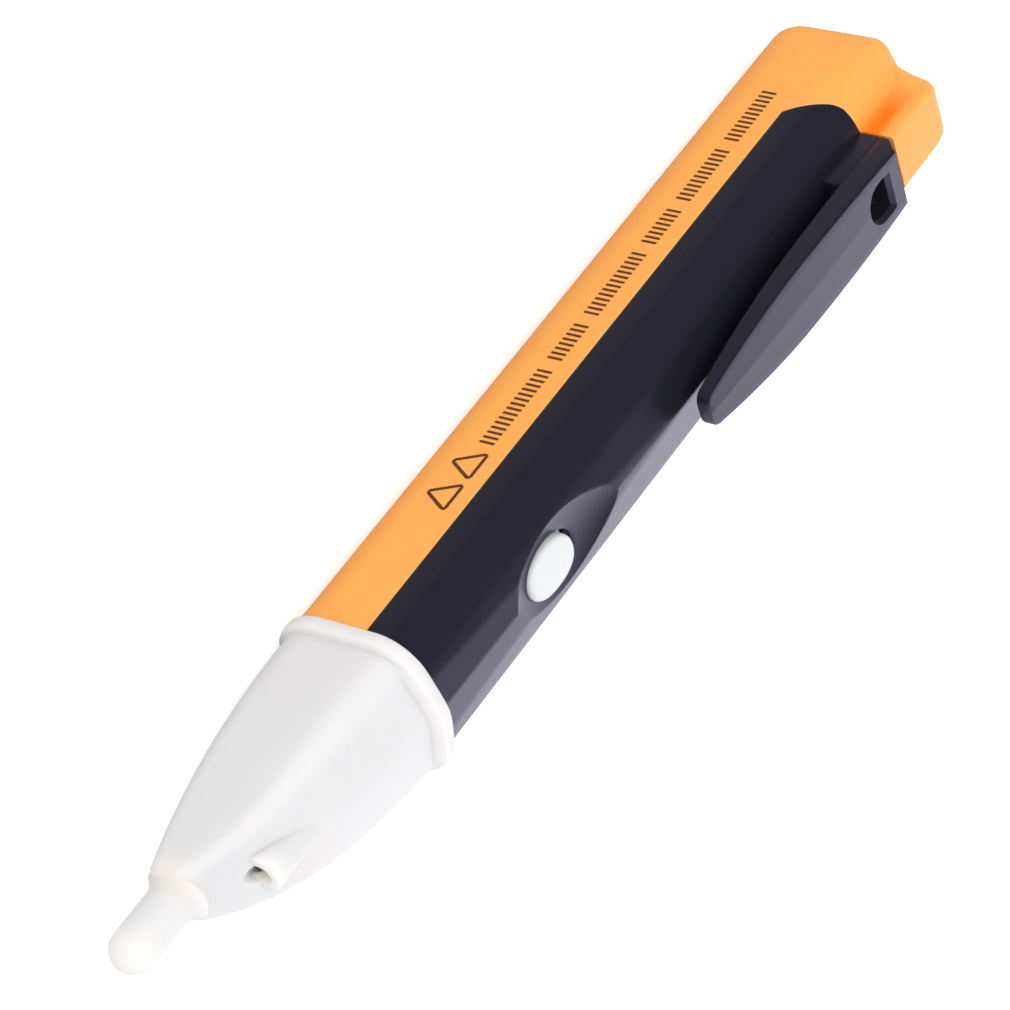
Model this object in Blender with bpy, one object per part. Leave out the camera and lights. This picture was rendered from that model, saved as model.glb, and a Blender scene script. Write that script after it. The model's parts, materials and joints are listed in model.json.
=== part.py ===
"""Pen-type non contact voltage tester, 155 mm long, lying on its back.

Units are metres and +Z is up. The sensing finger points along +X, and the push
button and the pocket clip face +Z. Every place in this file is given as
(x, y, z): x is measured from the tail end, y and z from the centre of the
handle's cross-section. The function at() turns such a place into the frame of
the part, whose origin is at the centre of the bottom of its box.
"""

import math

import bmesh
import bpy
from mathutils import Matrix, Vector

MM = 0.001

# overall form
LENGTH = 155.0 * MM
BODY_WIDTH = 19.2 * MM
BODY_FRONT = 10.0 * MM          # height of the front above the section centre, before its roof is cut
BODY_BACK = -10.0 * MM
FLANGE_PROUD = 0.7 * MM
FRONT_RADIUS = 6.6 * MM
FRONT_ARC_Z = 2.6 * MM          # height of the centre of the front corner arcs
ROOF_TILT = math.radians(16)    # slope of the front beside its central flat
FLAT_TILT = math.radians(7)     # slope of the two halves of the flat
FLAT_START_X = 59.0 * MM        # the flat widens from here to the nose
FLAT_TAIL_HALF_WIDTH = 0.3 * MM
FLAT_NOSE_HALF_WIDTH = 4.1 * MM
BACK_RADIUS = 6.1 * MM
SEAM_Z = 2.0 * MM               # parting line of the sleeve and the front housing
WALL = 1.5 * MM
FRONT_WALL = 2.0 * MM
GAP = 0.3 * MM
AXIS_HEIGHT = FLANGE_PROUD - BODY_BACK

# stations along the handle
JOINT_X = 110.4 * MM            # where the nose starts
HOUSING_TAIL_X = 12.3 * MM
CHAMFER_LOW_X = 17.1 * MM       # the seam turns up here towards the tail
CHAMFER_HIGH_X = 12.9 * MM
CHAMFER_HIGH_Z = 6.5 * MM

# clip
CLIP_HALF_WIDTH = 4.1 * MM
CLIP_BACK_Z = 12.35 * MM
CLIP_FRONT_Z = 15.5 * MM
CLIP_TIP_X = 60.3 * MM
ROOT_END_X = 22.0 * MM
BLOCK_TOP_Z = 13.8 * MM
LATCH_HOLE_X = 17.0 * MM
LATCH_HOLE_HALF_WIDTH = 2.6 * MM

# button
BUTTON_X = 87.4 * MM
BUTTON_HALF_LENGTH = 4.4 * MM
BUTTON_HALF_WIDTH = 2.85 * MM
BUTTON_TOP_Z = 10.35 * MM
BUTTON_FLANGE_Z = 6.7 * MM      # underside of the flange that keeps the button in
BUTTON_FLANGE_THICKNESS = 0.7 * MM
DISH_X = 84.2 * MM
DISH_HALF_LENGTH = 10.8 * MM
DISH_HALF_WIDTH = 4.7 * MM
DISH_FLOOR_Z = 8.9 * MM

# nose
NOSE_END_X = 144.5 * MM
NOSE_WALL = 1.3 * MM
FINGER_RADIUS = 2.77 * MM
FINGER_Z = -3.75 * MM
FINGER_BORE = 1.6 * MM
TORCH_Z = 3.7 * MM
TORCH_RADIUS = 2.95 * MM
TORCH_BORE = 1.8 * MM
TORCH_START_X = 124.0 * MM
TORCH_END_X = 138.4 * MM

# power
CELL_LENGTH = 44.5 * MM
CELL_RADIUS = 5.25 * MM
CELL_CAN_RADIUS = 4.9 * MM
TRAY_WALL = 0.8 * MM
CELL_WINDOW_HALF_WIDTH = 5.7 * MM
CELL_Z = BODY_BACK + WALL + GAP + TRAY_WALL + GAP + CELL_RADIUS
CELL_REAR_X = 8.6 * MM
CELL_FRONT_X = CELL_REAR_X + CELL_LENGTH + GAP

# electronics
BOARD_Z = 3.8 * MM
BOARD_THICKNESS = 0.8 * MM
BOARD_TOP_Z = BOARD_Z + BOARD_THICKNESS
PART_Z = BOARD_TOP_Z + GAP
SCREW_X = 104.0 * MM
SCREW_Y = 5.3 * MM

YELLOW = ("yellow_abs", (0.95, 0.42, 0.06), 0.45, 0.0)
BLACK = ("black_abs", (0.028, 0.027, 0.036), 0.28, 0.0)
WHITE = ("white_translucent", (0.86, 0.86, 0.83), 0.4, 0.0)
BUTTON = ("white_button", (0.8, 0.84, 0.82), 0.4, 0.0)
TRAY = ("tray_abs", (0.05, 0.05, 0.055), 0.5, 0.0)
BOARD = ("green_laminate", (0.02, 0.16, 0.06), 0.35, 0.0)
STEEL = ("nickel_steel", (0.62, 0.6, 0.57), 0.3, 1.0)
BRASS = ("brass", (0.72, 0.53, 0.25), 0.3, 1.0)
DARK = ("component_black", (0.02, 0.02, 0.022), 0.45, 0.0)
CERAMIC = ("capacitor_ceramic", (0.45, 0.3, 0.17), 0.5, 0.0)
RED_LENS = ("red_lens", (0.7, 0.03, 0.02), 0.1, 0.0)
CLEAR_LENS = ("clear_lens", (0.9, 0.92, 0.95), 0.08, 0.0)
CELL_LABEL = ("cell_label", (0.05, 0.2, 0.12), 0.35, 0.0)
RED_WIRE = ("red_wire", (0.6, 0.02, 0.02), 0.45, 0.0)
BLACK_WIRE = ("black_wire", (0.02, 0.02, 0.02), 0.45, 0.0)


def clear_scene():
    for obj in list(bpy.data.objects):
        bpy.data.objects.remove(obj)


def at(x, y, z):
    """A place given from the tail end and the section centre, in the part's frame."""
    return Vector((x - LENGTH / 2, y, z + AXIS_HEIGHT))


def material(spec):
    name, colour, roughness, metallic = spec
    made = bpy.data.materials.get(name)
    if made is None:
        made = bpy.data.materials.new(name)
        made.use_nodes = True
        shader = made.node_tree.nodes["Principled BSDF"]
        shader.inputs["Base Color"].default_value = (*colour, 1.0)
        shader.inputs["Roughness"].default_value = roughness
        shader.inputs["Metallic"].default_value = metallic
        made.diffuse_color = (*colour, 1.0)
    return made


def finish(name, bm, finish_spec, origin=None, smooth_degrees=35):
    """Turns a bmesh in the part's frame into an object whose origin is at origin."""
    bmesh.ops.recalc_face_normals(bm, faces=bm.faces)
    mesh = bpy.data.meshes.new(name)
    bm.to_mesh(mesh)
    bm.free()
    origin = origin or Vector()
    mesh.transform(Matrix.Translation(-origin))
    mesh.shade_smooth()
    mesh.set_sharp_from_angle(angle=math.radians(smooth_degrees))
    mesh.materials.append(material(finish_spec))
    obj = bpy.data.objects.new(name, mesh)
    obj.location = origin
    bpy.context.scene.collection.objects.link(obj)
    return obj


def loft_into(bm, rings):
    """Adds a closed solid through rings that all have the same number of points."""
    rows = [[bm.verts.new(point) for point in ring] for ring in rings]
    for low, high in zip(rows, rows[1:]):
        for k in range(len(low)):
            n = (k + 1) % len(low)
            bm.faces.new((low[k], low[n], high[n], high[k]))
    bm.faces.new(reversed(rows[0]))
    bm.faces.new(rows[-1])


def loft(name, rings, spec, origin=None):
    bm = bmesh.new()
    loft_into(bm, rings)
    return finish(name, bm, spec, origin)


def prism_x(name, outline, x0, x1, spec, origin=None):
    """Extrudes an outline of (y, z) points along x."""
    return loft(name, [[at(x, y, z) for y, z in outline] for x in (x0, x1)], spec, origin)


def prism_z(name, outline, z0, z1, spec, origin=None):
    """Extrudes an outline of (x, y) points along z."""
    return loft(name, [[at(x, y, z) for x, y in outline] for z in (z0, z1)], spec, origin)


def prism_y(name, outline, half_width, spec, origin=None):
    """Extrudes an outline of (x, z) points along y, the same to both sides."""
    rings = [[at(x, y, z) for x, z in outline] for y in (-half_width, half_width)]
    return loft(name, rings, spec, origin)


def block(name, x0, x1, y0, y1, z0, z1, spec, origin=None):
    return prism_z(name, [(x0, y0), (x1, y0), (x1, y1), (x0, y1)], z0, z1, spec, origin)


def turned_x(name, profile, y, z, spec, sides=24):
    """Turns a profile of (x, radius) points about a line along x."""
    rings = []
    for x, radius in profile:
        angles = [2 * math.pi * k / sides for k in range(sides)]
        rings.append([at(x, y + radius * math.cos(a), z + radius * math.sin(a)) for a in angles])
    return loft(name, rings, spec)


def turned_z(name, profile, x, y, spec, sides=24, origin=None):
    """Turns a profile of (z, radius) points about a line along z."""
    rings = []
    for z, radius in profile:
        angles = [2 * math.pi * k / sides for k in range(sides)]
        rings.append([at(x + radius * math.cos(a), y + radius * math.sin(a), z) for a in angles])
    return loft(name, rings, spec, origin)


def boolean(obj, operation, cutter):
    modifier = obj.modifiers.new(f"{operation.lower()} {cutter.name}", "BOOLEAN")
    modifier.operation = operation
    modifier.object = cutter
    cutter.hide_render = True
    cutter.display_type = "WIRE"


def smooth_route(points, steps=5):
    """Points along a Catmull-Rom curve through the route's own points."""
    route = []
    ends = [points[0], *points, points[-1]]
    for p0, p1, p2, p3 in zip(ends, ends[1:], ends[2:], ends[3:]):
        for k in range(steps):
            t = k / steps
            route.append(
                0.5 * (2 * p1 + (p2 - p0) * t + (2 * p0 - 5 * p1 + 4 * p2 - p3) * t**2
                       + (3 * p1 - p0 - 3 * p2 + p3) * t**3)
            )
    route.append(points[-1])
    return route


def wire(name, places, radius, spec, smooth=True):
    points = [at(*(MM * value for value in place)) for place in places]
    if smooth:
        points = smooth_route(points)
    curve = bpy.data.curves.new(name, "CURVE")
    curve.dimensions = "3D"
    curve.bevel_depth = radius
    curve.bevel_resolution = 2
    curve.use_fill_caps = True
    spline = curve.splines.new("POLY")
    spline.points.add(len(points) - 1)
    for spline_point, point in zip(spline.points, points):
        spline_point.co = (*point, 1)
    spline.use_smooth = True
    curve.materials.append(material(spec))
    obj = bpy.data.objects.new(name, curve)
    bpy.context.scene.collection.objects.link(obj)
    return obj


def arc(centre_y, centre_z, radius, start, end, steps):
    angles = [start + (end - start) * k / steps for k in range(steps + 1)]
    return [(centre_y + radius * math.cos(a), centre_z + radius * math.sin(a)) for a in angles]


def body_profile(flat=FLAT_TAIL_HALF_WIDTH):
    """The handle's section: round corners and a low roof whose ridge is cut by a flat of this half width."""
    corner_y = BODY_WIDTH / 2 - FRONT_RADIUS
    right = arc(corner_y, FRONT_ARC_Z, FRONT_RADIUS, 0, math.pi / 2 - ROOF_TILT, 7)
    roof_y, roof_z = right[-1]
    flat_z = roof_z + (roof_y - flat) * math.tan(ROOF_TILT)
    right.append((flat, flat_z))
    ridge = (0.0, flat_z + flat * math.tan(FLAT_TILT))
    return close_profile(right, ridge, 0.0)


def inner_profile():
    """The hollow of the handle: a wall inside the outer section, and a thicker one under the front."""
    corner_y = BODY_WIDTH / 2 - FRONT_RADIUS
    right = arc(corner_y, FRONT_ARC_Z, FRONT_RADIUS - WALL, 0, math.pi / 2 - ROOF_TILT, 7)
    return close_profile(right, (0.0, BODY_FRONT - FRONT_WALL), WALL)


def close_profile(right, ridge, inset):
    left = [(-y, z) for y, z in reversed(right)]
    back_y = BODY_WIDTH / 2 - BACK_RADIUS
    back_z = BODY_BACK + BACK_RADIUS
    low_left = arc(-back_y, back_z, BACK_RADIUS - inset, math.pi, 1.5 * math.pi, 7)
    low_right = [(-y, z) for y, z in reversed(low_left)]
    return [*right, ridge, *left, *low_left, *low_right]


def front_side(margin):
    """The side view of the region that the front housing fills, grown inwards by margin."""
    far_x = LENGTH
    top_z = 3 * BODY_FRONT
    return [
        (far_x, SEAM_Z + margin),
        (CHAMFER_LOW_X + margin, SEAM_Z + margin),
        (CHAMFER_HIGH_X + margin, CHAMFER_HIGH_Z),
        (HOUSING_TAIL_X + margin, CHAMFER_HIGH_Z + 1.0 * MM),
        (HOUSING_TAIL_X + margin, top_z),
        (far_x, top_z),
    ]


def interior(name, x0, x1):
    return prism_x(name, inner_profile(), x0, x1, BLACK)


def make_rear_sleeve():
    """Closed tail, trough along the back and the block in line with the clip; slides off rearwards."""
    tail_radius = 2.0 * MM
    rings = []
    for share in (0.0, 0.12, 0.35, 0.65, 1.0):
        inset = 0.85 * tail_radius * (1 - math.sqrt(1 - (1 - share) ** 2))
        scale = 1 - inset / (BODY_WIDTH / 2)
        rings.append([at(share * tail_radius, y * scale, z * scale) for y, z in body_profile()])
    end_x = JOINT_X - GAP
    rings.append([at(end_x, y, z) for y, z in body_profile()])
    sleeve = loft("rear_sleeve", rings, YELLOW)

    block_side = [
        (0.5 * MM, 0.0),
        (0.3 * MM, 8.0 * MM),
        (0.5 * MM, 12.0 * MM),
        (1.0 * MM, 13.2 * MM),
        (2.0 * MM, BLOCK_TOP_Z),
        (HOUSING_TAIL_X, BLOCK_TOP_Z),
        (HOUSING_TAIL_X, 0.0),
    ]
    tail_block = prism_y("tail_block", block_side, CLIP_HALF_WIDTH, YELLOW)
    bevel = tail_block.modifiers.new("edges", "BEVEL")
    bevel.width = 0.9 * MM
    bevel.segments = 2
    bevel.limit_method = "ANGLE"
    bevel.angle_limit = math.radians(60)
    boolean(sleeve, "UNION", tail_block)
    flare = [(5.6 * MM, 0.0), (5.6 * MM, 8.9 * MM), (5.0 * MM, 10.6 * MM), (4.0 * MM, 11.6 * MM)]
    flare += [(-y, z) for y, z in reversed(flare)]
    boolean(sleeve, "UNION", prism_x("groove_end", flare, 0.7 * MM, 1.9 * MM, YELLOW))
    boolean(sleeve, "DIFFERENCE", prism_y("front_clearance", front_side(0.0), BODY_WIDTH, BLACK))
    boolean(sleeve, "DIFFERENCE", interior("sleeve_inside", 2.0 * MM, LENGTH))
    hollow = (2.0 * MM, 9.5 * MM, -2.7 * MM, 2.7 * MM, 6.0 * MM, 12.3 * MM)
    boolean(sleeve, "DIFFERENCE", block("block_hollow", *hollow, YELLOW))
    tongue = (9.0 * MM, 19.6 * MM, -1.9 * MM, 1.9 * MM, 9.6 * MM, 11.3 * MM)
    boolean(sleeve, "UNION", block("latch_tongue", *tongue, YELLOW))


def ellipse(centre_x, half_length, half_width, steps=28):
    angles = [2 * math.pi * k / steps for k in range(steps)]
    return [(centre_x + half_length * math.cos(a), half_width * math.sin(a)) for a in angles]


def dish_cutter():
    """A shallow bowl around the button: ellipses that shrink from above the front to its floor."""
    rings = []
    rise = BODY_FRONT - DISH_FLOOR_Z
    for share in (0.0, 0.2, 0.5, 1.0, 2.0):
        spread = 0.72 + 0.28 * min(share, 1.0) ** 0.5 + 0.1 * max(share - 1.0, 0.0)
        outline = ellipse(DISH_X, DISH_HALF_LENGTH * spread, DISH_HALF_WIDTH * spread)
        rings.append([at(x, y, DISH_FLOOR_Z + rise * share) for x, y in outline])
    return loft("dish", rings, BLACK)


def latch_hole_outline(margin):
    half = LATCH_HOLE_HALF_WIDTH + margin
    centre_x = LATCH_HOLE_X + 2.2 * MM
    nose_side = arc(centre_x, 0.0, half, -math.pi / 2, math.pi / 2, 10)
    return [*nose_side, (LATCH_HOLE_X - margin, half), (LATCH_HOLE_X - margin, -half)]


def make_front_housing():
    """Black front half with the button's dish and the root block that carries the clip."""
    flats = (
        (HOUSING_TAIL_X, FLAT_TAIL_HALF_WIDTH),
        (FLAT_START_X, FLAT_TAIL_HALF_WIDTH),
        (JOINT_X - GAP, FLAT_NOSE_HALF_WIDTH),
    )
    rings = [[at(x, y, z) for y, z in body_profile(flat)] for x, flat in flats]
    housing = loft("front_housing", rings, BLACK)
    root_block = (HOUSING_TAIL_X, ROOT_END_X, -CLIP_HALF_WIDTH, CLIP_HALF_WIDTH, 0.0, CLIP_BACK_Z - GAP)
    boolean(housing, "UNION", block("root_block", *root_block, BLACK))
    boolean(housing, "INTERSECT", prism_y("front_region", front_side(GAP), BODY_WIDTH, BLACK))
    boolean(housing, "DIFFERENCE", interior("housing_inside", 0.0, LENGTH))
    boolean(housing, "DIFFERENCE", dish_cutter())
    hole = ellipse(BUTTON_X, BUTTON_HALF_LENGTH + GAP, BUTTON_HALF_WIDTH + GAP)
    boolean(housing, "DIFFERENCE", prism_z("button_hole", hole, 0.0, 2 * BODY_FRONT, BLACK))
    pocket = (0.0, 21.0 * MM, -2.4 * MM, 2.4 * MM, 9.2 * MM, 2 * BODY_FRONT)
    boolean(housing, "DIFFERENCE", block("latch_pocket", *pocket, BLACK))


def clip_half_width(x):
    """Widest in the middle of its length, with a blunt round end."""
    end_start = 44.0 * MM
    widest = CLIP_HALF_WIDTH + 0.15 * MM * math.sin(math.pi * min(x / end_start, 1.0))
    if x <= end_start:
        return widest
    share = (x - end_start) / (CLIP_TIP_X - end_start)
    return widest * max(1 - share**2.6, 0.004) ** 0.42


def clip_front_z(x):
    return CLIP_FRONT_Z - 1.2 * MM * (x / CLIP_TIP_X) ** 2


def clip_section(x, front_z):
    half = clip_half_width(x)
    edge = 0.45 * MM * half / CLIP_HALF_WIDTH
    return [
        (-half, CLIP_BACK_Z + edge * 0.5),
        (-half + edge * 0.5, CLIP_BACK_Z),
        (half - edge * 0.5, CLIP_BACK_Z),
        (half, CLIP_BACK_Z + edge * 0.5),
        (half, front_z - edge),
        (half - edge, front_z),
        (0.0, front_z + 0.15 * MM),
        (-half + edge, front_z),
        (-half, front_z - edge),
    ]


def make_pocket_clip():
    """Spring arm over the root block; its origin is on the line at the tail that it flexes about."""
    start_x = HOUSING_TAIL_X + GAP
    stations = [start_x, 14.6 * MM]
    stations += [k * MM for k in (17.0, 20.0, 24.0, 28.0, 32.0, 36.0, 40.0, 44.0, 48.0)]
    stations += [k * MM for k in (51.0, 53.5, 55.5, 57.0, 58.2, 59.1, 59.8, 60.2, 60.3)]
    rings = []
    for x in stations:
        slant = max(0.0, stations[1] - x)
        rings.append([at(x, y, z) for y, z in clip_section(x, clip_front_z(x) - slant)])
    clip = loft("pocket_clip", rings, BLACK, at(start_x, 0.0, CLIP_BACK_Z))
    hole = prism_z("latch_window", latch_hole_outline(0.0), BODY_FRONT, 2 * BODY_FRONT, BLACK)
    boolean(clip, "DIFFERENCE", hole)


def make_button():
    """White cap with a flange that keeps it under the front wall."""
    rings = []
    flange_high = BUTTON_FLANGE_Z + BUTTON_FLANGE_THICKNESS
    grown = 0.8 * MM
    levels = (
        (BUTTON_FLANGE_Z, grown, grown),
        (flange_high, grown, grown),
        (flange_high + 0.02 * MM, 0.0, 0.0),
        (BUTTON_TOP_Z - 1.1 * MM, 0.0, 0.0),
        (BUTTON_TOP_Z - 0.65 * MM, -0.25 * MM, -0.25 * MM),
        (BUTTON_TOP_Z - 0.25 * MM, -0.9 * MM, -0.8 * MM),
        (BUTTON_TOP_Z - 0.05 * MM, -2.0 * MM, -1.6 * MM),
        (BUTTON_TOP_Z, -3.4 * MM, -2.4 * MM),
    )
    for z, longer, wider in levels:
        outline = ellipse(BUTTON_X, BUTTON_HALF_LENGTH + longer, BUTTON_HALF_WIDTH + wider)
        rings.append([at(x, y, z) for x, y in outline])
    loft("button_cap", rings, BUTTON, at(BUTTON_X, 0.0, BUTTON_FLANGE_Z))


def nose_section(x, inset=0.0, steps=6):
    """Rounded section of the nose, which narrows faster at the front than at the back."""
    share = (x - JOINT_X - 2.1 * MM) / (NOSE_END_X - JOINT_X - 2.1 * MM)
    share = min(max(share, 0.0), 1.1)
    half = (9.4 - 5.6 * share**1.9) * MM - inset
    front = (9.9 - 5.4 * share - 5.7 * share**5) * MM - inset
    back = (-9.9 + 1.6 * share + 1.4 * share**3) * MM + inset
    front_radius = (7.2 - 4.5 * share) * MM - inset
    back_radius = (6.0 - 3.6 * share) * MM - inset
    right = arc(half - front_radius, front - front_radius, front_radius, 0, math.pi / 2, steps)
    left = [(-y, z) for y, z in reversed(right)]
    low_left = arc(-half + back_radius, back + back_radius, back_radius, math.pi, 1.5 * math.pi, steps)
    low_right = [(-y, z) for y, z in reversed(low_left)]
    return [*right, *left, *low_left, *low_right]


def flange_section(proud, steps=6):
    half = BODY_WIDTH / 2 + proud
    front_radius = FRONT_RADIUS + 1.0 * MM + proud
    back_radius = BACK_RADIUS + proud
    front = BODY_FRONT + proud
    back = BODY_BACK - proud
    right = arc(half - front_radius, front - front_radius, front_radius, 0, math.pi / 2, steps)
    left = [(-y, z) for y, z in reversed(right)]
    low_left = arc(-half + back_radius, back + back_radius, back_radius, math.pi, 1.5 * math.pi, steps)
    low_right = [(-y, z) for y, z in reversed(low_left)]
    return [*right, *left, *low_left, *low_right]


def make_nose_lens():
    """Translucent nose: flange, hollow body, torch tube and the hollow sensing finger."""
    rings = []
    for x, proud in ((0.0, 0.35), (0.3, 0.65), (0.8, 0.7), (1.6, 0.7), (2.1, 0.5), (2.3, 0.0)):
        rings.append([at(JOINT_X + x * MM, y, z) for y, z in flange_section(proud * MM)])
    for x in (113.1, 116.0, 120.0, 124.0, 128.0, 132.0, 135.0, 138.0, 140.5, 142.5, 144.0):
        rings.append([at(x * MM, y, z) for y, z in nose_section(x * MM)])
    rings.append([at(NOSE_END_X + 0.3 * MM, y, z) for y, z in nose_section(NOSE_END_X, 0.5 * MM)])
    nose = loft("nose_lens", rings, WHITE)

    finger = [(142.0 * MM, FINGER_RADIUS)]
    ball_x = LENGTH - FINGER_RADIUS
    for k in range(8):
        angle = math.radians(12 * k)
        finger.append((ball_x + FINGER_RADIUS * math.sin(angle), FINGER_RADIUS * math.cos(angle)))
    boolean(nose, "UNION", turned_x("finger_outside", finger, 0.0, FINGER_Z, WHITE))
    tube = [(TORCH_START_X, TORCH_RADIUS), (TORCH_END_X - 0.4 * MM, TORCH_RADIUS),
            (TORCH_END_X, TORCH_RADIUS - 0.4 * MM)]
    boolean(nose, "UNION", turned_x("torch_tube", tube, 0.0, TORCH_Z, WHITE))

    cavity = []
    for x in (105.0, 113.1, 116.0, 120.0, 124.0, 128.0, 132.0, 136.0, 140.0, 142.0):
        cavity.append([at(x * MM, y, z) for y, z in nose_section(x * MM, NOSE_WALL, 5)])
    boolean(nose, "DIFFERENCE", loft("nose_inside", cavity, WHITE))
    bore = [(100.0 * MM, TORCH_BORE), (150.0 * MM, TORCH_BORE)]
    boolean(nose, "DIFFERENCE", turned_x("torch_bore", bore, 0.0, TORCH_Z, WHITE, 20))
    finger_bore = [(130.0 * MM, FINGER_BORE), (150.4 * MM, FINGER_BORE), (151.2 * MM, 0.8 * MM)]
    boolean(nose, "DIFFERENCE", turned_x("finger_bore", finger_bore, 0.0, FINGER_Z, WHITE, 16))


def tray_outline():
    """Trough that holds both cells, a gap inside the sleeve's own wall."""
    half = BODY_WIDTH / 2 - WALL - GAP
    bottom = BODY_BACK + WALL + GAP
    radius = BACK_RADIUS - WALL - GAP
    top = BOARD_Z - GAP
    outer = arc(-half + radius, bottom + radius, radius, math.pi, 1.5 * math.pi, 5)
    inner = arc(-half + radius, bottom + radius, radius - TRAY_WALL, math.pi, 1.5 * math.pi, 5)
    outer_right = [(-y, z) for y, z in reversed(outer)]
    inner_right = [(-y, z) for y, z in reversed(inner)]
    inner_half = half - TRAY_WALL
    trough = [(-half, top), *outer, *outer_right, (half, top)]
    hollow = [(inner_half, top), *reversed(inner_right), *reversed(inner), (-inner_half, top)]
    return [*trough, *hollow]


def make_battery_tray():
    """Chassis: the trough, a wall at each end of the cells and two bosses for the board's screws.

    The cells lie between its two side rails and lift out through the windows in its back.
    """
    outline = tray_outline()
    tray = prism_x("battery_tray", outline, 2.6 * MM, 113.0 * MM, TRAY)
    half = BODY_WIDTH / 2 - WALL - GAP - TRAY_WALL / 2
    low = BODY_BACK + WALL + GAP + TRAY_WALL / 2
    corner = 3.4 * MM
    wall_outline = [
        (-half, 2.6 * MM),
        (-half, low + corner),
        (-half + corner, low),
        (half - corner, low),
        (half, low + corner),
        (half, 2.6 * MM),
    ]
    for number, (x0, x1) in enumerate(((2.6, 3.4), (98.9, 99.7))):
        wall = prism_x(f"tray_wall_{number}", wall_outline, x0 * MM, x1 * MM, TRAY)
        boolean(tray, "UNION", wall)
    for number, (x0, x1) in enumerate(((6.2, 51.5), (55.0, 97.6))):
        sides = (x0 * MM, x1 * MM, -CELL_WINDOW_HALF_WIDTH, CELL_WINDOW_HALF_WIDTH)
        heights = (2 * BODY_BACK, CELL_Z - 1.0 * MM)
        boolean(tray, "DIFFERENCE", block(f"cell_window_{number}", *sides, *heights, TRAY))
    for number, side in enumerate((-1, 1)):
        boss = [(-5.3 * MM, 1.9 * MM), (BOARD_Z - GAP, 1.9 * MM)]
        boolean(tray, "UNION", turned_z(f"boss_{number}", boss, SCREW_X, side * SCREW_Y, TRAY, 16))
        hole = [(-4.0 * MM, 1.1 * MM), (2 * BODY_FRONT, 1.1 * MM)]
        boolean(tray, "DIFFERENCE", turned_z(f"pilot_{number}", hole, SCREW_X, side * SCREW_Y, TRAY, 12))


def make_cell(name, x):
    """An AAA cell: a steel can with its positive nub forward, inside a printed jacket."""
    nub = 0.8 * MM
    end = x + CELL_LENGTH
    can = [
        (x, CELL_CAN_RADIUS - 0.5 * MM),
        (x + 0.3 * MM, CELL_CAN_RADIUS),
        (end - nub - 0.4 * MM, CELL_CAN_RADIUS),
        (end - nub, CELL_CAN_RADIUS - 0.6 * MM),
        (end - nub + 0.01 * MM, 1.9 * MM),
        (end - 0.2 * MM, 1.8 * MM),
        (end, 1.5 * MM),
    ]
    turned_x(f"{name}_can", can, 0.0, CELL_Z, STEEL)
    start_x = x + 0.6 * MM
    jacket_end = end - nub - 0.6 * MM
    tube = [(start_x, CELL_RADIUS), (jacket_end, CELL_RADIUS)]
    jacket = turned_x(f"{name}_jacket", tube, 0.0, CELL_Z, CELL_LABEL)
    bore = [(x - MM, CELL_CAN_RADIUS + 0.12 * MM), (end, CELL_CAN_RADIUS + 0.12 * MM)]
    boolean(jacket, "DIFFERENCE", turned_x(f"{name}_bore", bore, 0.0, CELL_Z, CELL_LABEL))


def make_contacts():
    """Rear plate with its coil spring, and the front plate that the positive nub presses."""
    block("rear_contact", 3.7 * MM, 4.0 * MM, -4.5 * MM, 4.5 * MM, -6.0 * MM, 2.2 * MM, STEEL)
    block("front_contact", 98.3 * MM, 98.6 * MM, -4.0 * MM, 4.0 * MM, -6.0 * MM, 2.2 * MM, STEEL)
    turns = 4
    steps = 14 * turns
    coil = []
    for k in range(steps + 1):
        share = k / steps
        angle = 2 * math.pi * turns * share
        radius = 3.4 - 1.6 * share
        coil.append((4.7 + 3.2 * share, radius * math.cos(angle), CELL_Z / MM + radius * math.sin(angle)))
    wire("contact_spring", coil, 0.3 * MM, STEEL, smooth=False)


def make_wires():
    negative = (
        (6.0, 6.0, 1.0),
        (10.0, 6.1, 2.2),
        (30.0, 6.1, 2.4),
        (50.0, 6.1, 2.3),
        (60.0, 6.1, 2.5),
        (68.0, 5.9, 2.9),
    )
    wire("negative_wire", negative, 0.5 * MM, BLACK_WIRE)
    positive = ((97.8, -6.0, 1.0), (96.0, -6.1, 2.0), (91.0, -6.1, 2.5), (84.0, -5.9, 2.9))
    wire("positive_wire", positive, 0.5 * MM, RED_WIRE)
    sensor = (
        (139.9, 0.2, -4.0),
        (138.0, 2.2, -4.2),
        (134.0, 3.5, -3.6),
        (128.0, 4.3, -1.0),
        (123.0, 4.0, 1.8),
        (118.0, 3.6, 3.0),
    )
    wire("sensor_lead", sensor, 0.4 * MM, BLACK_WIRE)


def make_board():
    outline = [(x * MM, y * MM) for x, y in ((60, -7), (110, -7), (124, -3.6), (124, 3.6), (110, 7), (60, 7))]
    board = prism_z("circuit_board", outline, BOARD_Z, BOARD_TOP_Z, BOARD)
    for number, side in enumerate((-1, 1)):
        hole = [(0.0, 1.1 * MM), (BODY_FRONT, 1.1 * MM)]
        cutter = turned_z(f"board_hole_{number}", hole, SCREW_X, side * SCREW_Y, BOARD, 12)
        boolean(board, "DIFFERENCE", cutter)


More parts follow.
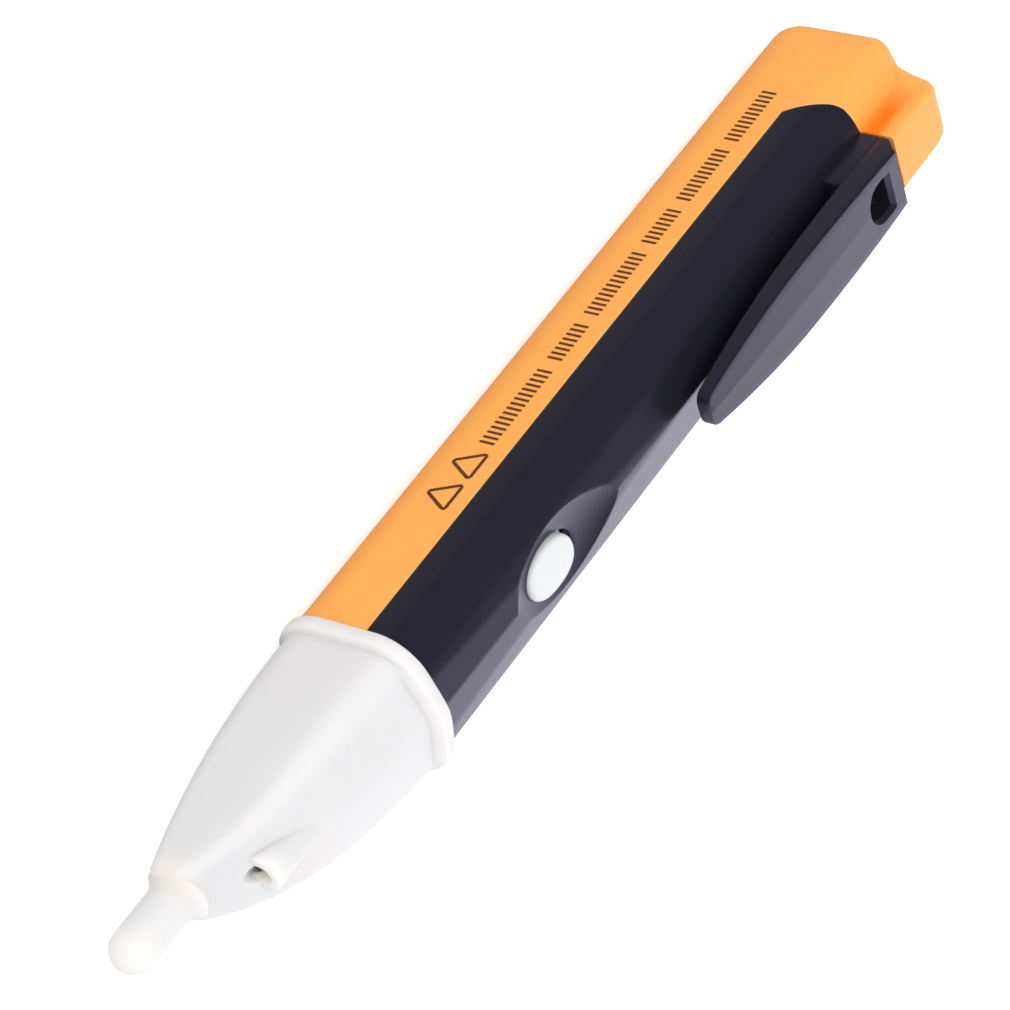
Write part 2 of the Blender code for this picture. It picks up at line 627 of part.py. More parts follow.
def make_board_screws():
    """Pan heads with a cross slot; the shank stands a running gap inside its pilot hole."""
    for side, label in ((-1, "left"), (1, "right")):
        y = side * SCREW_Y
        profile = [
            (-3.4 * MM, 0.3 * MM),
            (-2.6 * MM, 0.75 * MM),
            (PART_Z, 0.75 * MM),
            (PART_Z + 0.01 * MM, 1.5 * MM),
            (PART_Z + 0.55 * MM, 1.5 * MM),
            (PART_Z + 0.9 * MM, 1.0 * MM),
        ]
        screw = turned_z(f"board_screw_{label}", profile, SCREW_X, y, STEEL, 16)
        depth = (PART_Z + 0.45 * MM, PART_Z + 2 * MM)
        for long_x, long_y in ((0.8 * MM, 0.18 * MM), (0.18 * MM, 0.8 * MM)):
            sides = (SCREW_X - long_x, SCREW_X + long_x, y - long_y, y + long_y)
            name = f"slot_{label}_{round(long_x / MM * 100)}"
            boolean(screw, "DIFFERENCE", block(name, *sides, *depth, STEEL))


def make_switch():
    """Low tact switch under the button; its plunger's origin is on the press axis."""
    x0 = BUTTON_X - 3.0 * MM
    x1 = BUTTON_X + 3.0 * MM
    body_top = PART_Z + 0.9 * MM
    body = block("switch_body", x0, x1, -1.8 * MM, 1.8 * MM, PART_Z, body_top, DARK)
    hole = [(0.0, 1.3 * MM), (BODY_FRONT, 1.3 * MM)]
    boolean(body, "DIFFERENCE", turned_z("switch_hole", hole, BUTTON_X, 0.0, DARK, 16))
    low = BOARD_TOP_Z + 0.75 * MM
    top = BUTTON_FLANGE_Z - GAP
    profile = [(low, 0.95 * MM), (top - 0.2 * MM, 0.95 * MM), (top, 0.75 * MM)]
    turned_z("switch_plunger", profile, BUTTON_X, 0.0, BUTTON, 16, at(BUTTON_X, 0.0, low))


def make_buzzer():
    x = 97.7 * MM
    top = PART_Z + 2.0 * MM
    outside = [(PART_Z, 4.2 * MM), (top - 0.3 * MM, 4.2 * MM), (top, 3.9 * MM)]
    inside = [(0.0, 3.7 * MM), (top - 0.5 * MM, 3.7 * MM)]
    sound_hole = [(0.0, 0.7 * MM), (2 * BODY_FRONT, 0.7 * MM)]
    disc = [(PART_Z + 0.5 * MM, 3.3 * MM), (PART_Z + 0.75 * MM, 3.3 * MM)]
    case = turned_z("buzzer_case", outside, x, 0.0, DARK, 28)
    boolean(case, "DIFFERENCE", turned_z("buzzer_inside", inside, x, 0.0, DARK, 24))
    boolean(case, "DIFFERENCE", turned_z("sound_hole", sound_hole, x, 0.0, DARK, 12))
    turned_z("piezo_disc", disc, x, 0.0, BRASS, 24)


def make_led(name, x, z, radius, length, spec):
    """A domed lamp that looks along +x, with a flat rim at its base."""
    profile = [(x, radius), (x + length - radius, radius)]
    for degrees in (20, 40, 60, 78):
        a = math.radians(degrees)
        profile.append((x + length - radius + radius * math.sin(a), radius * math.cos(a)))
    turned_x(name, profile, 0.0, z, spec, 20)


def make_leds():
    make_led("torch_led", 129.0 * MM, TORCH_Z, 1.5 * MM, 5.2 * MM, CLEAR_LENS)
    make_led("alarm_led", 129.0 * MM, -2.6 * MM, 2.3 * MM, 7.4 * MM, RED_LENS)
    for y, label in ((-1.0, "left"), (1.0, "right")):
        wire(f"torch_led_lead_{label}", ((118.0, y, 3.3), (128.7, y, 3.3)), 0.22 * MM, STEEL, smooth=False)
        bend = ((128.7, y, -2.6), (126.0, y, -2.4), (123.0, y, -0.5), (121.0, y, 1.8), (116.0, y * 1.6, 3.1))
        wire(f"alarm_led_lead_{label}", bend, 0.22 * MM, STEEL)


def make_antenna():
    profile = [(140.6 * MM, 1.2 * MM), (149.3 * MM, 1.2 * MM), (150.1 * MM, 0.5 * MM)]
    turned_x("sensor_antenna", profile, 0.0, FINGER_Z, BRASS, 16)


def make_board_parts():
    """Chips, resistors and capacitors on the top of the board: name, x, y, size, finish."""
    parts = (
        ("controller_chip", 71.0, 0.0, 5.0, 4.0, 1.5, DARK),
        ("amplifier_chip", 114.0, 0.0, 3.0, 3.0, 1.0, DARK),
        ("sense_transistor", 119.5, 0.0, 2.9, 1.5, 1.0, DARK),
        ("feedback_resistor", 65.5, -4.6, 2.0, 1.25, 0.5, DARK),
        ("torch_resistor", 78.0, -4.6, 2.0, 1.25, 0.5, DARK),
        ("alarm_resistor", 78.0, 4.6, 2.0, 1.25, 0.5, DARK),
        ("supply_capacitor", 65.5, 4.6, 2.0, 1.25, 1.0, CERAMIC),
        ("filter_capacitor", 110.0, 3.6, 2.0, 1.25, 1.0, CERAMIC),
    )
    for name, x, y, long_x, long_y, height, spec in parts:
        sides = ((x - long_x / 2) * MM, (x + long_x / 2) * MM, (y - long_y / 2) * MM, (y + long_y / 2) * MM)
        block(name, *sides, PART_Z, PART_Z + height * MM, spec)


def main():
    clear_scene()
    make_rear_sleeve()
    make_front_housing()
    make_pocket_clip()
    make_button()
    make_nose_lens()
    make_battery_tray()
    make_cell("rear_cell", CELL_REAR_X)
    make_cell("front_cell", CELL_FRONT_X)
    make_contacts()
    make_wires()
    make_board()
    make_board_screws()
    make_switch()
    make_buzzer()
    make_leds()
    make_antenna()
    make_board_parts()


main()
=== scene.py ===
import json
import math

import bmesh
import bpy
from mathutils import Matrix, Vector


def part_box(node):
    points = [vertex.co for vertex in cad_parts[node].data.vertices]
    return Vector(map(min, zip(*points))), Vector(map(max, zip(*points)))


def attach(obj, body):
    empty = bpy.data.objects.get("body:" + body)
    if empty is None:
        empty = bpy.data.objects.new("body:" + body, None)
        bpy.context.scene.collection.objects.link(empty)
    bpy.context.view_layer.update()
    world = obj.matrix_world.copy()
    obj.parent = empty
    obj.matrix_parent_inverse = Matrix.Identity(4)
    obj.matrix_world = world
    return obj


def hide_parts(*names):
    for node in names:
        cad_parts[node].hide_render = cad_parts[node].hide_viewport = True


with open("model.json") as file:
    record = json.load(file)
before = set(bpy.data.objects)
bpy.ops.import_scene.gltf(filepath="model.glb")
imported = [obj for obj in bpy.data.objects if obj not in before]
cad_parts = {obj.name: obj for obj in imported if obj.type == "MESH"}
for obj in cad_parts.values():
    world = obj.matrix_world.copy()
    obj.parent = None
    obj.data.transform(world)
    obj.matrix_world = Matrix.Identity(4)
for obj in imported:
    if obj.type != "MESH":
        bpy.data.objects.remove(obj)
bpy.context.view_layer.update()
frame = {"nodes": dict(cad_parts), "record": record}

mm = 0.001
noseLow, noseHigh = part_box("nose_lens")
sleeveLow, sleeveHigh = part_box("rear_sleeve")
tailX = sleeveLow.x
middleZ = (noseLow.z + noseHigh.z) / 2      # centre of the handle's section
jointX = (noseLow.x - tailX) / mm           # where the nose starts


def at(x, y, z):
    # millimetres from the tail end and from the centre of the section
    return Vector((tailX + x * mm, y * mm, middleZ + z * mm))


def mix(low, high, share):
    return low + (high - low) * share


def clamp(value, low=0.0, high=1.0):
    return min(max(value, low), high)


def smooth(share):
    share = clamp(share)
    return share * share * (3 - 2 * share)


def spaced(start, end, step):
    # evenly spaced values from start to end, about a step apart
    count = max(1, round(abs(end - start) / step))
    return [mix(start, end, k / count) for k in range(count + 1)]


def connect(tree, value, socket):
    # an input gets a link from another node, or else a plain value
    if isinstance(value, bpy.types.NodeSocket):
        tree.links.new(value, socket)
    else:
        socket.default_value = value


def addNode(tree, kind, values=None, **settings):
    node = tree.nodes.new(kind)
    for name, setting in settings.items():
        setattr(node, name, setting)
    for label, value in (values or {}).items():
        connect(tree, value, node.inputs[label])
    return node


def calculate(tree, operation, *values):
    return addNode(tree, "ShaderNodeMath", dict(enumerate(values)), operation=operation).outputs[0]


def mapRange(tree, value, low, high, start=0.0, end=1.0, kind="LINEAR"):
    # low where the value is start, high where it is end
    limits = {"Value": value, "From Min": start, "From Max": end, "To Min": low, "To Max": high}
    return addNode(tree, "ShaderNodeMapRange", limits, interpolation_type=kind).outputs["Result"]


def addNoise(tree, place, scale, detail=2, distortion=0):
    values = {"Vector": place, "Scale": scale, "Detail": detail, "Distortion": distortion}
    return addNode(tree, "ShaderNodeTexNoise", values).outputs["Fac"]


def colourRamp(tree, value, first, second, start=0.0, end=1.0):
    ramp = addNode(tree, "ShaderNodeValToRGB", {"Fac": value})
    for element, position, colour in zip(ramp.color_ramp.elements, (start, end), (first, second)):
        element.position = position
        element.color = (*colour, 1)
    return ramp


def mixColours(tree, share, first, second):
    values = {"Factor": share, 6: first, 7: second}
    return addNode(tree, "ShaderNodeMix", values, data_type="RGBA").outputs[2]


def splitPlace(tree, coordinates="Object"):
    place = addNode(tree, "ShaderNodeTexCoord").outputs[coordinates]
    return addNode(tree, "ShaderNodeSeparateXYZ", {0: place}).outputs


def objectPlace(tree, centre=(0, 0, 0), stretch=(1, 1, 1)):
    # object coordinates measured from a place on the piece
    place = addNode(tree, "ShaderNodeTexCoord").outputs["Object"]
    values = {"Vector": place, "Location": centre, "Scale": stretch}
    return addNode(tree, "ShaderNodeMapping", values, vector_type="TEXTURE").outputs["Vector"]


def newShaderGroup(name, inputs, outputs):
    tree = bpy.data.node_groups.new(name, "ShaderNodeTree")
    for label, kind, value in inputs:
        socket = tree.interface.new_socket(label, in_out="INPUT", socket_type=kind)
        socket.default_value = value
    for label, kind in outputs:
        tree.interface.new_socket(label, in_out="OUTPUT", socket_type=kind)
    return tree, tree.nodes.new("NodeGroupInput").outputs, tree.nodes.new("NodeGroupOutput").inputs


def makeMouldedSkin():
    # cloudy tone, spark-eroded grain and handling smudges of a moulded plastic
    tree, given, result = newShaderGroup(
        "mouldedSkin",
        [("Colour", "NodeSocketColor", (0.5, 0.5, 0.5, 1)), ("Tone Shift", "NodeSocketFloat", 0.05),
         ("Grain Size", "NodeSocketFloat", 3500.0), ("Gloss", "NodeSocketFloat", 0.4),
         ("Smudge", "NodeSocketFloat", 0.06)],
        [("Colour", "NodeSocketColor"), ("Roughness", "NodeSocketFloat"), ("Height", "NodeSocketFloat")])
    place = addNode(tree, "ShaderNodeTexCoord").outputs["Object"]
    cloud = calculate(tree, "SUBTRACT", addNoise(tree, place, 90, 3), 0.5)
    shift = calculate(tree, "MULTIPLY_ADD", cloud, given["Tone Shift"], 1.0)
    tone = addNode(tree, "ShaderNodeVectorMath", {0: given["Colour"], "Scale": shift}, operation="SCALE")
    smudge = addNoise(tree, place, 260, 4, 0.6)
    connect(tree, tone.outputs[0], result["Colour"])
    connect(tree, calculate(tree, "MULTIPLY_ADD", smudge, given["Smudge"], given["Gloss"]), result["Roughness"])
    connect(tree, addNoise(tree, place, given["Grain Size"]), result["Height"])
    return tree


def makeEdgeWearAndSheen():
    # convex edges made lighter: partly wear from hands and pockets, partly a painted highlight along the edges
    tree, given, result = newShaderGroup(
        "edgeWearAndSheen",
        [("Colour", "NodeSocketColor", (0.5, 0.5, 0.5, 1)), ("Worn Or Lit", "NodeSocketColor", (0.8, 0.8, 0.8, 1)),
         ("Amount", "NodeSocketFloat", 0.2)],
        [("Colour", "NodeSocketColor")])
    pointiness = addNode(tree, "ShaderNodeNewGeometry").outputs["Pointiness"]
    patch = addNoise(tree, addNode(tree, "ShaderNodeTexCoord").outputs["Object"], 420)
    # painted highlight and wear: convex edges, found by pointiness, are lightened in broken patches
    broken = calculate(tree, "MULTIPLY", mapRange(tree, pointiness, 0, 1, 0.52, 0.64), patch)
    share = calculate(tree, "MULTIPLY", broken, given["Amount"])
    connect(tree, mixColours(tree, share, given["Colour"], given["Worn Or Lit"]), result["Colour"])
    return tree


mouldedSkin = makeMouldedSkin()
edgeWearAndSheen = makeEdgeWearAndSheen()


def newMaterial(name, shaderValues=None):
    material = bpy.data.materials.new(name)
    material.use_nodes = True
    shader = material.node_tree.nodes["Principled BSDF"].inputs
    for label, value in (shaderValues or {}).items():
        shader[label].default_value = value
    return material, material.node_tree, shader


def addBump(tree, shader, height, strength, distance):
    values = {"Height": height, "Strength": strength, "Distance": distance * mm}
    connect(tree, addNode(tree, "ShaderNodeBump", values).outputs["Normal"], shader["Normal"])


def mouldedMaterial(name, finish, shaderValues=None):
    # a finish made of the two shared groups, with its own values
    colour, roughness, toneShift, grainSize, smudge, wornOrLitColour, wearAndSheen, grainStrength = finish
    material, tree, shader = newMaterial(name, shaderValues)
    skin = addNode(tree, "ShaderNodeGroup", {
        "Colour": (*colour, 1), "Tone Shift": toneShift, "Grain Size": grainSize, "Gloss": roughness,
        "Smudge": smudge}, node_tree=mouldedSkin).outputs
    wornAndLit = addNode(tree, "ShaderNodeGroup", {
        "Colour": skin["Colour"], "Worn Or Lit": (*wornOrLitColour, 1), "Amount": wearAndSheen}, node_tree=edgeWearAndSheen)
    connect(tree, wornAndLit.outputs["Colour"], shader["Base Color"])
    connect(tree, skin["Roughness"], shader["Roughness"])
    addBump(tree, shader, skin["Height"], grainStrength, 0.03)
    return material


# colour, roughness, tone shift, grain size, smudge, edge colour (wear and painted highlight), its amount, grain
# strength
finishes = {
    "sleeve_yellow": ((1.0, 0.43, 0.09), 0.42, 0.05, 5200.0, 0.06, (1.0, 0.6, 0.25), 0.25, 0.35),
    "housing_black": ((0.014, 0.0138, 0.021), 0.21, 0.15, 3800.0, 0.06, (0.06, 0.06, 0.075), 0.3, 0.12),
    "button_white": ((0.735, 0.76, 0.75), 0.38, 0.04, 4800.0, 0.06, (0.85, 0.88, 0.86), 0.2, 0.2),
    "nose_white": ((0.775, 0.763, 0.742), 0.32, 0.03, 5200.0, 0.08, (0.9, 0.9, 0.9), 0.1, 0.15),
    "tray_black": ((0.03, 0.03, 0.034), 0.42, 0.12, 3600.0, 0.1, (0.1, 0.1, 0.11), 0.3, 0.35),
    "component_black": ((0.018, 0.018, 0.02), 0.5, 0.2, 7000.0, 0.1, (0.08, 0.08, 0.08), 0.2, 0.5),
    "ceramic_tan": ((0.45, 0.3, 0.17), 0.5, 0.2, 7000.0, 0.1, (0.6, 0.45, 0.3), 0.2, 0.4),
    "red_wire": ((0.55, 0.02, 0.02), 0.38, 0.1, 3000.0, 0.08, (0.7, 0.1, 0.08), 0.2, 0.2),
    "black_wire": ((0.02, 0.02, 0.02), 0.38, 0.1, 3000.0, 0.08, (0.08, 0.08, 0.08), 0.2, 0.2),
}
shaderExtras = {
    "sleeve_yellow": {"Subsurface Weight": 0.2, "Subsurface Radius": (1.0, 0.35, 0.1), "Subsurface Scale": 0.0008,
                      "Specular IOR Level": 0.3},
    "housing_black": {"Specular Tint": (0.74, 0.69, 1.0, 1.0)},
    "button_white": {"Subsurface Weight": 0.4, "Subsurface Radius": (1.0, 1.0, 1.0), "Subsurface Scale": 0.001,
                     "Specular IOR Level": 0.25},
    # the nose's emission carries the painted glow inside the torch tube
    "nose_white": {"Subsurface Weight": 0.9, "Subsurface Radius": (1.0, 0.93, 0.82), "Subsurface Scale": 0.003,
                   "Specular IOR Level": 0.22, "Emission Strength": 0.5},
}
materials = {slot: mouldedMaterial(slot, finish, shaderExtras.get(slot)) for slot, finish in finishes.items()}


def tintedSpot(tree, colour, centre, size, tint, amount):
    # a soft round tint round a place, laid over the colour so far
    place = objectPlace(tree, centre, [length * mm for length in size])
    spot = addNode(tree, "ShaderNodeTexGradient", {"Vector": place}, gradient_type="SPHERICAL")
    return mixColours(tree, calculate(tree, "MULTIPLY", spot.outputs["Fac"], amount), colour, (*tint, 1))


noseTints = {                                   # place, size, tint and amount
    # the torch spot is painted warm light round the mouth of the torch tube
    "torch": (at(136.8, 0, 3.7), (2.4, 2.4, 2.4), (0.9, 0.82, 0.58), 0.6),
    "fingerRoot": (at(143.5, -2, -3.5), (4.0, 4.0, 4.0), (0.9, 0.72, 0.5), 0.35),
    "alarmLamp": (at(131.5, 3.5, 3.0), (6.0, 6.0, 6.0), (0.95, 0.68, 0.68), 0.35),
}
torchPaintedGlow = (at(136.8, 0, 3.7), (2.6, 1.8, 1.8), (0.8, 0.66, 0.36), 1.0)     # painted glow that lights the shaded wall inside the torch tube


def tintNose(material):
    tree = material.node_tree
    shader = tree.nodes["Principled BSDF"].inputs
    colour = shader["Base Color"].links[0].from_socket
    for spot in noseTints.values():
        colour = tintedSpot(tree, colour, *spot)
    connect(tree, colour, shader["Base Color"])
    # painted glow: emission in the torch tube, where no lamp is lit
    connect(tree, tintedSpot(tree, (0, 0, 0, 1), *torchPaintedGlow), shader["Emission Color"])


# painted shade and bounced light: a deep orange laid into the grooves beside the tail block
grooveShadeTint = {
    "colour": (1.0, 0.21, 0.0),
    "x": ((2.0, 8.5), (14.5, 12.4)),            # each pair runs from no tint to the full tint
    "z": ((12.9, 11.2), (8.0, 10.6)),
    "aside": ((6.2, 4.2), (3.6, 4.0)),
}


def paintGrooveShade(material):
    # painted shade and bounced light: the colour deepens to a darker orange in the grooves beside the tail block,
    # where they lie in shade
    tree = material.node_tree
    base = tree.nodes["Principled BSDF"].inputs["Base Color"]
    place = splitPlace(tree)
    aside = calculate(tree, "ABSOLUTE", place["Y"])
    bands = [(place["X"], at(start, 0, 0).x, at(end, 0, 0).x) for start, end in grooveShadeTint["x"]]
    bands += [(place["Z"], at(0, 0, start).z, at(0, 0, end).z) for start, end in grooveShadeTint["z"]]
    bands += [(aside, start * mm, end * mm) for start, end in grooveShadeTint["aside"]]
    share = 1.0
    for value, start, end in bands:
        share = calculate(tree, "MULTIPLY", share, mapRange(tree, value, 0, 1, start, end, "SMOOTHSTEP"))
    tint = (*grooveShadeTint["colour"], 1)
    connect(tree, mixColours(tree, share, base.links[0].from_socket, tint), base)


def makeMetal(name, colour, roughness):
    # plated or rolled metal, with fine drawing lines along the part
    material, tree, shader = newMaterial(name, {"Metallic": 1.0})
    lines = addNoise(tree, objectPlace(tree, stretch=(6, 1, 1)), 900, 3)
    tone = colourRamp(tree, lines, [part * 0.8 for part in colour], colour)
    connect(tree, tone.outputs["Color"], shader["Base Color"])
    connect(tree, mapRange(tree, lines, roughness * 0.7, roughness * 1.5), shader["Roughness"])
    addBump(tree, shader, lines, 0.15, 0.02)
    return material


def makeLens(name, colour, clearness, paintedGlow=0.0):
    # cast epoxy with a faint swirl; its glow is painted light, standing in for the light that the milky nose lets
    # through
    material, tree, shader = newMaterial(name, {
        "Transmission Weight": clearness, "IOR": 1.5, "Emission Strength": paintedGlow})
    swirl = addNoise(tree, objectPlace(tree), 700)
    tone = colourRamp(tree, swirl, [part * 0.85 for part in colour], colour)
    connect(tree, tone.outputs["Color"], shader["Base Color"])
    connect(tree, tone.outputs["Color"], shader["Emission Color"])
    connect(tree, mapRange(tree, swirl, 0.03, 0.12), shader["Roughness"])
    return material


def makeCellJacket():
    # printed film: a dark band at the negative end, a copper one at the nub
    material, tree, shader = newMaterial("cell_jacket", {"Coat Weight": 0.6})
    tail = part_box("rear_cell_jacket")[0].x
    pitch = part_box("front_cell_jacket")[0].x - tail
    along = calculate(tree, "MODULO", calculate(tree, "SUBTRACT", splitPlace(tree)["X"], tail), pitch)
    share = calculate(tree, "DIVIDE", along, pitch)
    bands = colourRamp(tree, share, (0.012, 0.014, 0.018), (0.5, 0.2, 0.07), 0.0, 0.66)
    bands.color_ramp.interpolation = "CONSTANT"
    for position, colour in ((0.06, (0.03, 0.12, 0.09)), (0.62, (0.55, 0.55, 0.5)), (0.93, (0.6, 0.57, 0.5))):
        bands.color_ramp.elements.new(position).color = (*colour, 1)
    connect(tree, bands.outputs["Color"], shader["Base Color"])
    film = addNoise(tree, objectPlace(tree, stretch=(4, 1, 1)), 500, 3)
    connect(tree, mapRange(tree, film, 0.2, 0.42), shader["Roughness"])
    return material


def makeBoardMaterial():
    # solder mask with lighter copper runs beneath it
    material, tree, shader = newMaterial("board_green")
    runs = addNode(tree, "ShaderNodeTexBrick", {
        "Vector": objectPlace(tree, tuple(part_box("circuit_board")[0])), "Scale": 1.0,
        "Color1": (0.012, 0.11, 0.035, 1), "Color2": (0.016, 0.14, 0.045, 1), "Mortar": (0.05, 0.26, 0.09, 1),
        "Mortar Size": 0.00018, "Mortar Smooth": 0.2, "Brick Width": 0.0064, "Row Height": 0.0011}, offset=0.37)
    connect(tree, runs.outputs["Color"], shader["Base Color"])
    addBump(tree, shader, runs.outputs["Fac"], 0.4, 0.04)
    weave = addNoise(tree, objectPlace(tree), 2500)
    connect(tree, mapRange(tree, weave, 0.25, 0.45), shader["Roughness"])
    return material


def makePrintInk():
    # brown pad print, thin in places
    material, tree, shader = newMaterial("brownInk", {"Specular IOR Level": 0.3})
    speckle = addNoise(tree, objectPlace(tree), 2600, 3)
    tone = colourRamp(tree, speckle, (0.1, 0.022, 0.008), (0.22, 0.06, 0.015), 0.35, 0.8)
    connect(tree, tone.outputs["Color"], shader["Base Color"])
    connect(tree, mapRange(tree, speckle, 0.45, 0.65), shader["Roughness"])
    return material


tintNose(materials["nose_white"])
paintGrooveShade(materials["sleeve_yellow"])
materials["nickel_steel"] = makeMetal("nickel_steel", (0.66, 0.64, 0.6), 0.28)
materials["brass"] = makeMetal("brass", (0.72, 0.5, 0.22), 0.3)
materials["clear_lens"] = makeLens("clear_lens", (0.95, 0.87, 0.58), 0.25, 0.08)
materials["red_lens"] = makeLens("red_lens", (0.8, 0.05, 0.03), 0.6)
materials["cell_jacket"] = makeCellJacket()
materials["board_green"] = makeBoardMaterial()
brownInk = makePrintInk()
print("materials ready:", len(bpy.data.materials))


def linkObject(name, mesh):
    obj = bpy.data.objects.new(name, mesh)
    bpy.context.scene.collection.objects.link(obj)
    return obj


def newObject(name, bm):
    mesh = bpy.data.meshes.new(name)
    bm.to_mesh(mesh)
    bm.free()
    return linkObject(name, mesh)


def wireObject(name, points, edges=()):
    # bare points, or paths of edges, that a tree of nodes builds on
    mesh = bpy.data.meshes.new(name)
    mesh.from_pydata([tuple(point) for point in points], edges, [])
    return linkObject(name, mesh)


def loft(name, rings):
    # a skin over rings of points, with its two ends filled
    bm = bmesh.new()
    rows = [[bm.verts.new(point) for point in ring] for ring in rings]
    count = len(rings[0])
    for low, high in zip(rows, rows[1:]):
        for k in range(count):
            n = (k + 1) % count
            bm.faces.new((low[k], low[n], high[n], high[k]))
    bm.faces.new(reversed(rows[0]))
    bm.faces.new(rows[-1])
    bmesh.ops.recalc_face_normals(bm, faces=bm.faces)
    return newObject(name, bm)


def settle(obj):
    # turns the modifiers' result into the plain mesh of the object
    graph = bpy.context.evaluated_depsgraph_get()
    mesh = bpy.data.meshes.new_from_object(obj.evaluated_get(graph))
    obj.modifiers.clear()
    obj.data = mesh
    return obj


def addBevel(obj, width, segments=3, degrees=50):
    bevel = obj.modifiers.new("edges", "BEVEL")
    bevel.width = width * mm
    bevel.segments = segments
    bevel.limit_method = "ANGLE"
    bevel.angle_limit = math.radians(degrees)
    return obj


def addWall(obj, thickness):
    wall = obj.modifiers.new("wall", "SOLIDIFY")
    wall.thickness = thickness * mm
    wall.offset = -1
    wall.use_even_offset = True
    return obj


def combine(obj, operation, other):
    # a Boolean that is applied at once, after which the other shape is removed
    step = obj.modifiers.new(operation.lower(), "BOOLEAN")
    step.operation = operation
    step.solver = "MANIFOLD"
    step.object = other
    settle(obj)
    bpy.data.objects.remove(other)
    return obj


def finishPiece(obj, body, slot, node, degrees=32):
    obj.data.shade_smooth()
    obj.data.set_sharp_from_angle(angle=math.radians(degrees))
    obj.data.materials.clear()
    obj.data.materials.append(materials[slot])
    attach(obj, body)
    if node:
        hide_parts(node)
    return obj


def arcPoints(centreY, centreZ, radius, start, end, steps):
    points = []
    for k in range(steps + 1):
        angle = math.radians(mix(start, end, k / steps))
        points.append((centreY + radius * math.cos(angle), centreZ + radius * math.sin(angle)))
    return points


def mirrored(points):
    return [(-y, z) for y, z in reversed(points)]


def sectionRings(section, stations, *settings):
    # the rings of a loft, one section at each station along the tester
    return [[at(x, y, z) for y, z in section(x, *settings)] for x in stations]


handle = {
    "frontRadius": 6.6, "frontArcZ": 2.6,       # round corners beside the front
    "roofTilt": 16, "flatTilt": 7,              # degrees: the slopes beside and on the front flat
    "flatStart": 59.0, "flatTailHalf": 0.3, "flatNoseHalf": 4.1,
    "softCrease": 0.07,                         # how softly the flat meets its slopes
    "backZ": -10.0, "backRadius": 6.1,
    "seamZ": 2.0, "wall": 1.5,
    "seamGap": 0.05,
}
halfWidth = (sleeveHigh.y - sleeveLow.y) / 2 / mm
cornerY = halfWidth - handle["frontRadius"]
roofSlope = math.tan(math.radians(handle["roofTilt"]))
flatSlope = math.tan(math.radians(handle["flatTilt"]))
shoulderY = cornerY + handle["frontRadius"] * math.sin(math.radians(handle["roofTilt"]))
shoulderZ = handle["frontArcZ"] + handle["frontRadius"] * math.cos(math.radians(handle["roofTilt"]))
seamLine = ((17.1, 2.0), (12.9, 6.5), (12.3, 7.5), (12.3, 30.0))    # (x, z) of the parting line at the tail
heightLimitY = 7.0                                                  # beyond it the corner is followed by angle


def frontHeight(x, y):
    y = abs(y)
    if y > shoulderY:
        return handle["frontArcZ"] + math.sqrt(handle["frontRadius"] ** 2 - (y - cornerY) ** 2)
    return roofHeight(x, y)


def roofHeight(x, y):
    share = clamp((x - handle["flatStart"]) / (jointX - handle["flatStart"]))
    flatHalf = mix(handle["flatTailHalf"], handle["flatNoseHalf"], share)
    roof = shoulderZ + (shoulderY - y) * roofSlope
    flat = shoulderZ + (shoulderY - flatHalf) * roofSlope + (flatHalf - y) * flatSlope
    near = max(handle["softCrease"] - abs(roof - flat), 0) / handle["softCrease"]
    return min(roof, flat) - near * near * handle["softCrease"] / 4


def seamX(z):
    for (x0, z0), (x1, z1) in zip(seamLine, seamLine[1:]):
        if z <= z1:
            return mix(x0, x1, clamp((z - z0) / (z1 - z0)))
    return seamLine[-1][0]


def frontSide(levels):
    # columns from the middle of the front to the seam: a y for the open front, then fixed (y, z) pairs
    start = math.degrees(math.acos((heightLimitY - cornerY) / handle["frontRadius"]))
    corner = arcPoints(cornerY, handle["frontArcZ"], handle["frontRadius"], start, 0, 14)
    return [*levels, *corner[1:], (halfWidth, (handle["frontArcZ"] + handle["seamZ"]) / 2),
            (halfWidth, handle["seamZ"])]


def mirroredColumns(columns):
    flipped = []
    for column in reversed(columns[1:]):
        flipped.append((-column[0], column[1]) if isinstance(column, tuple) else -column)
    return [*flipped, *columns]


def columnPlace(column, x):
    if isinstance(column, tuple):
        return column
    return column, frontHeight(x, column)


def backSide():
    # fixed (y, z) pairs from the right seam round the back to the left seam
    arcY = halfWidth - handle["backRadius"]
    arcZ = handle["backZ"] + handle["backRadius"]
    right = [(halfWidth, z) for z in spaced(handle["seamZ"], arcZ, 1.0)]
    right += arcPoints(arcY, arcZ, handle["backRadius"], 0, -90, 16)[1:]
    right += [(y, handle["backZ"]) for y in spaced(arcY, 0, 1.2)][1:]
    return [*right, *mirrored(right)[1:]]


dish = {
    "x": 84.2, "halfLength": 10.8, "halfWidth": 4.7, "hollow": 0.38,
    "holeShare": 0.5, "reach": 1.12,            # rings of the mesh: the button's hole, and where they fade out
    "holeGap": 0.14, "tailGap": 0.4,           # clearance round the button, and more at its tail end
}
button = {"halfLength": 4.5, "halfWidth": 3.08, "dome": 0.7, "edge": 0.85,
          "proud": 0.35, "squareness": 2.3, "flange": 0.85}
buttonLow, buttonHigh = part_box("button_cap")
buttonX = ((buttonLow.x + buttonHigh.x) / 2 - tailX) / mm
buttonTop = (buttonHigh.z - middleZ) / mm


def scoopHeight(x):
    # the scoop is level across and hollow along, so it cuts the roofed front in a leaf
    share = (x - dish["x"]) / dish["halfLength"]
    depth = frontHeight(dish["x"], 0) - frontHeight(dish["x"], dish["halfWidth"])
    return frontHeight(x, 0) - depth * max(0.0, 1 - share * share)


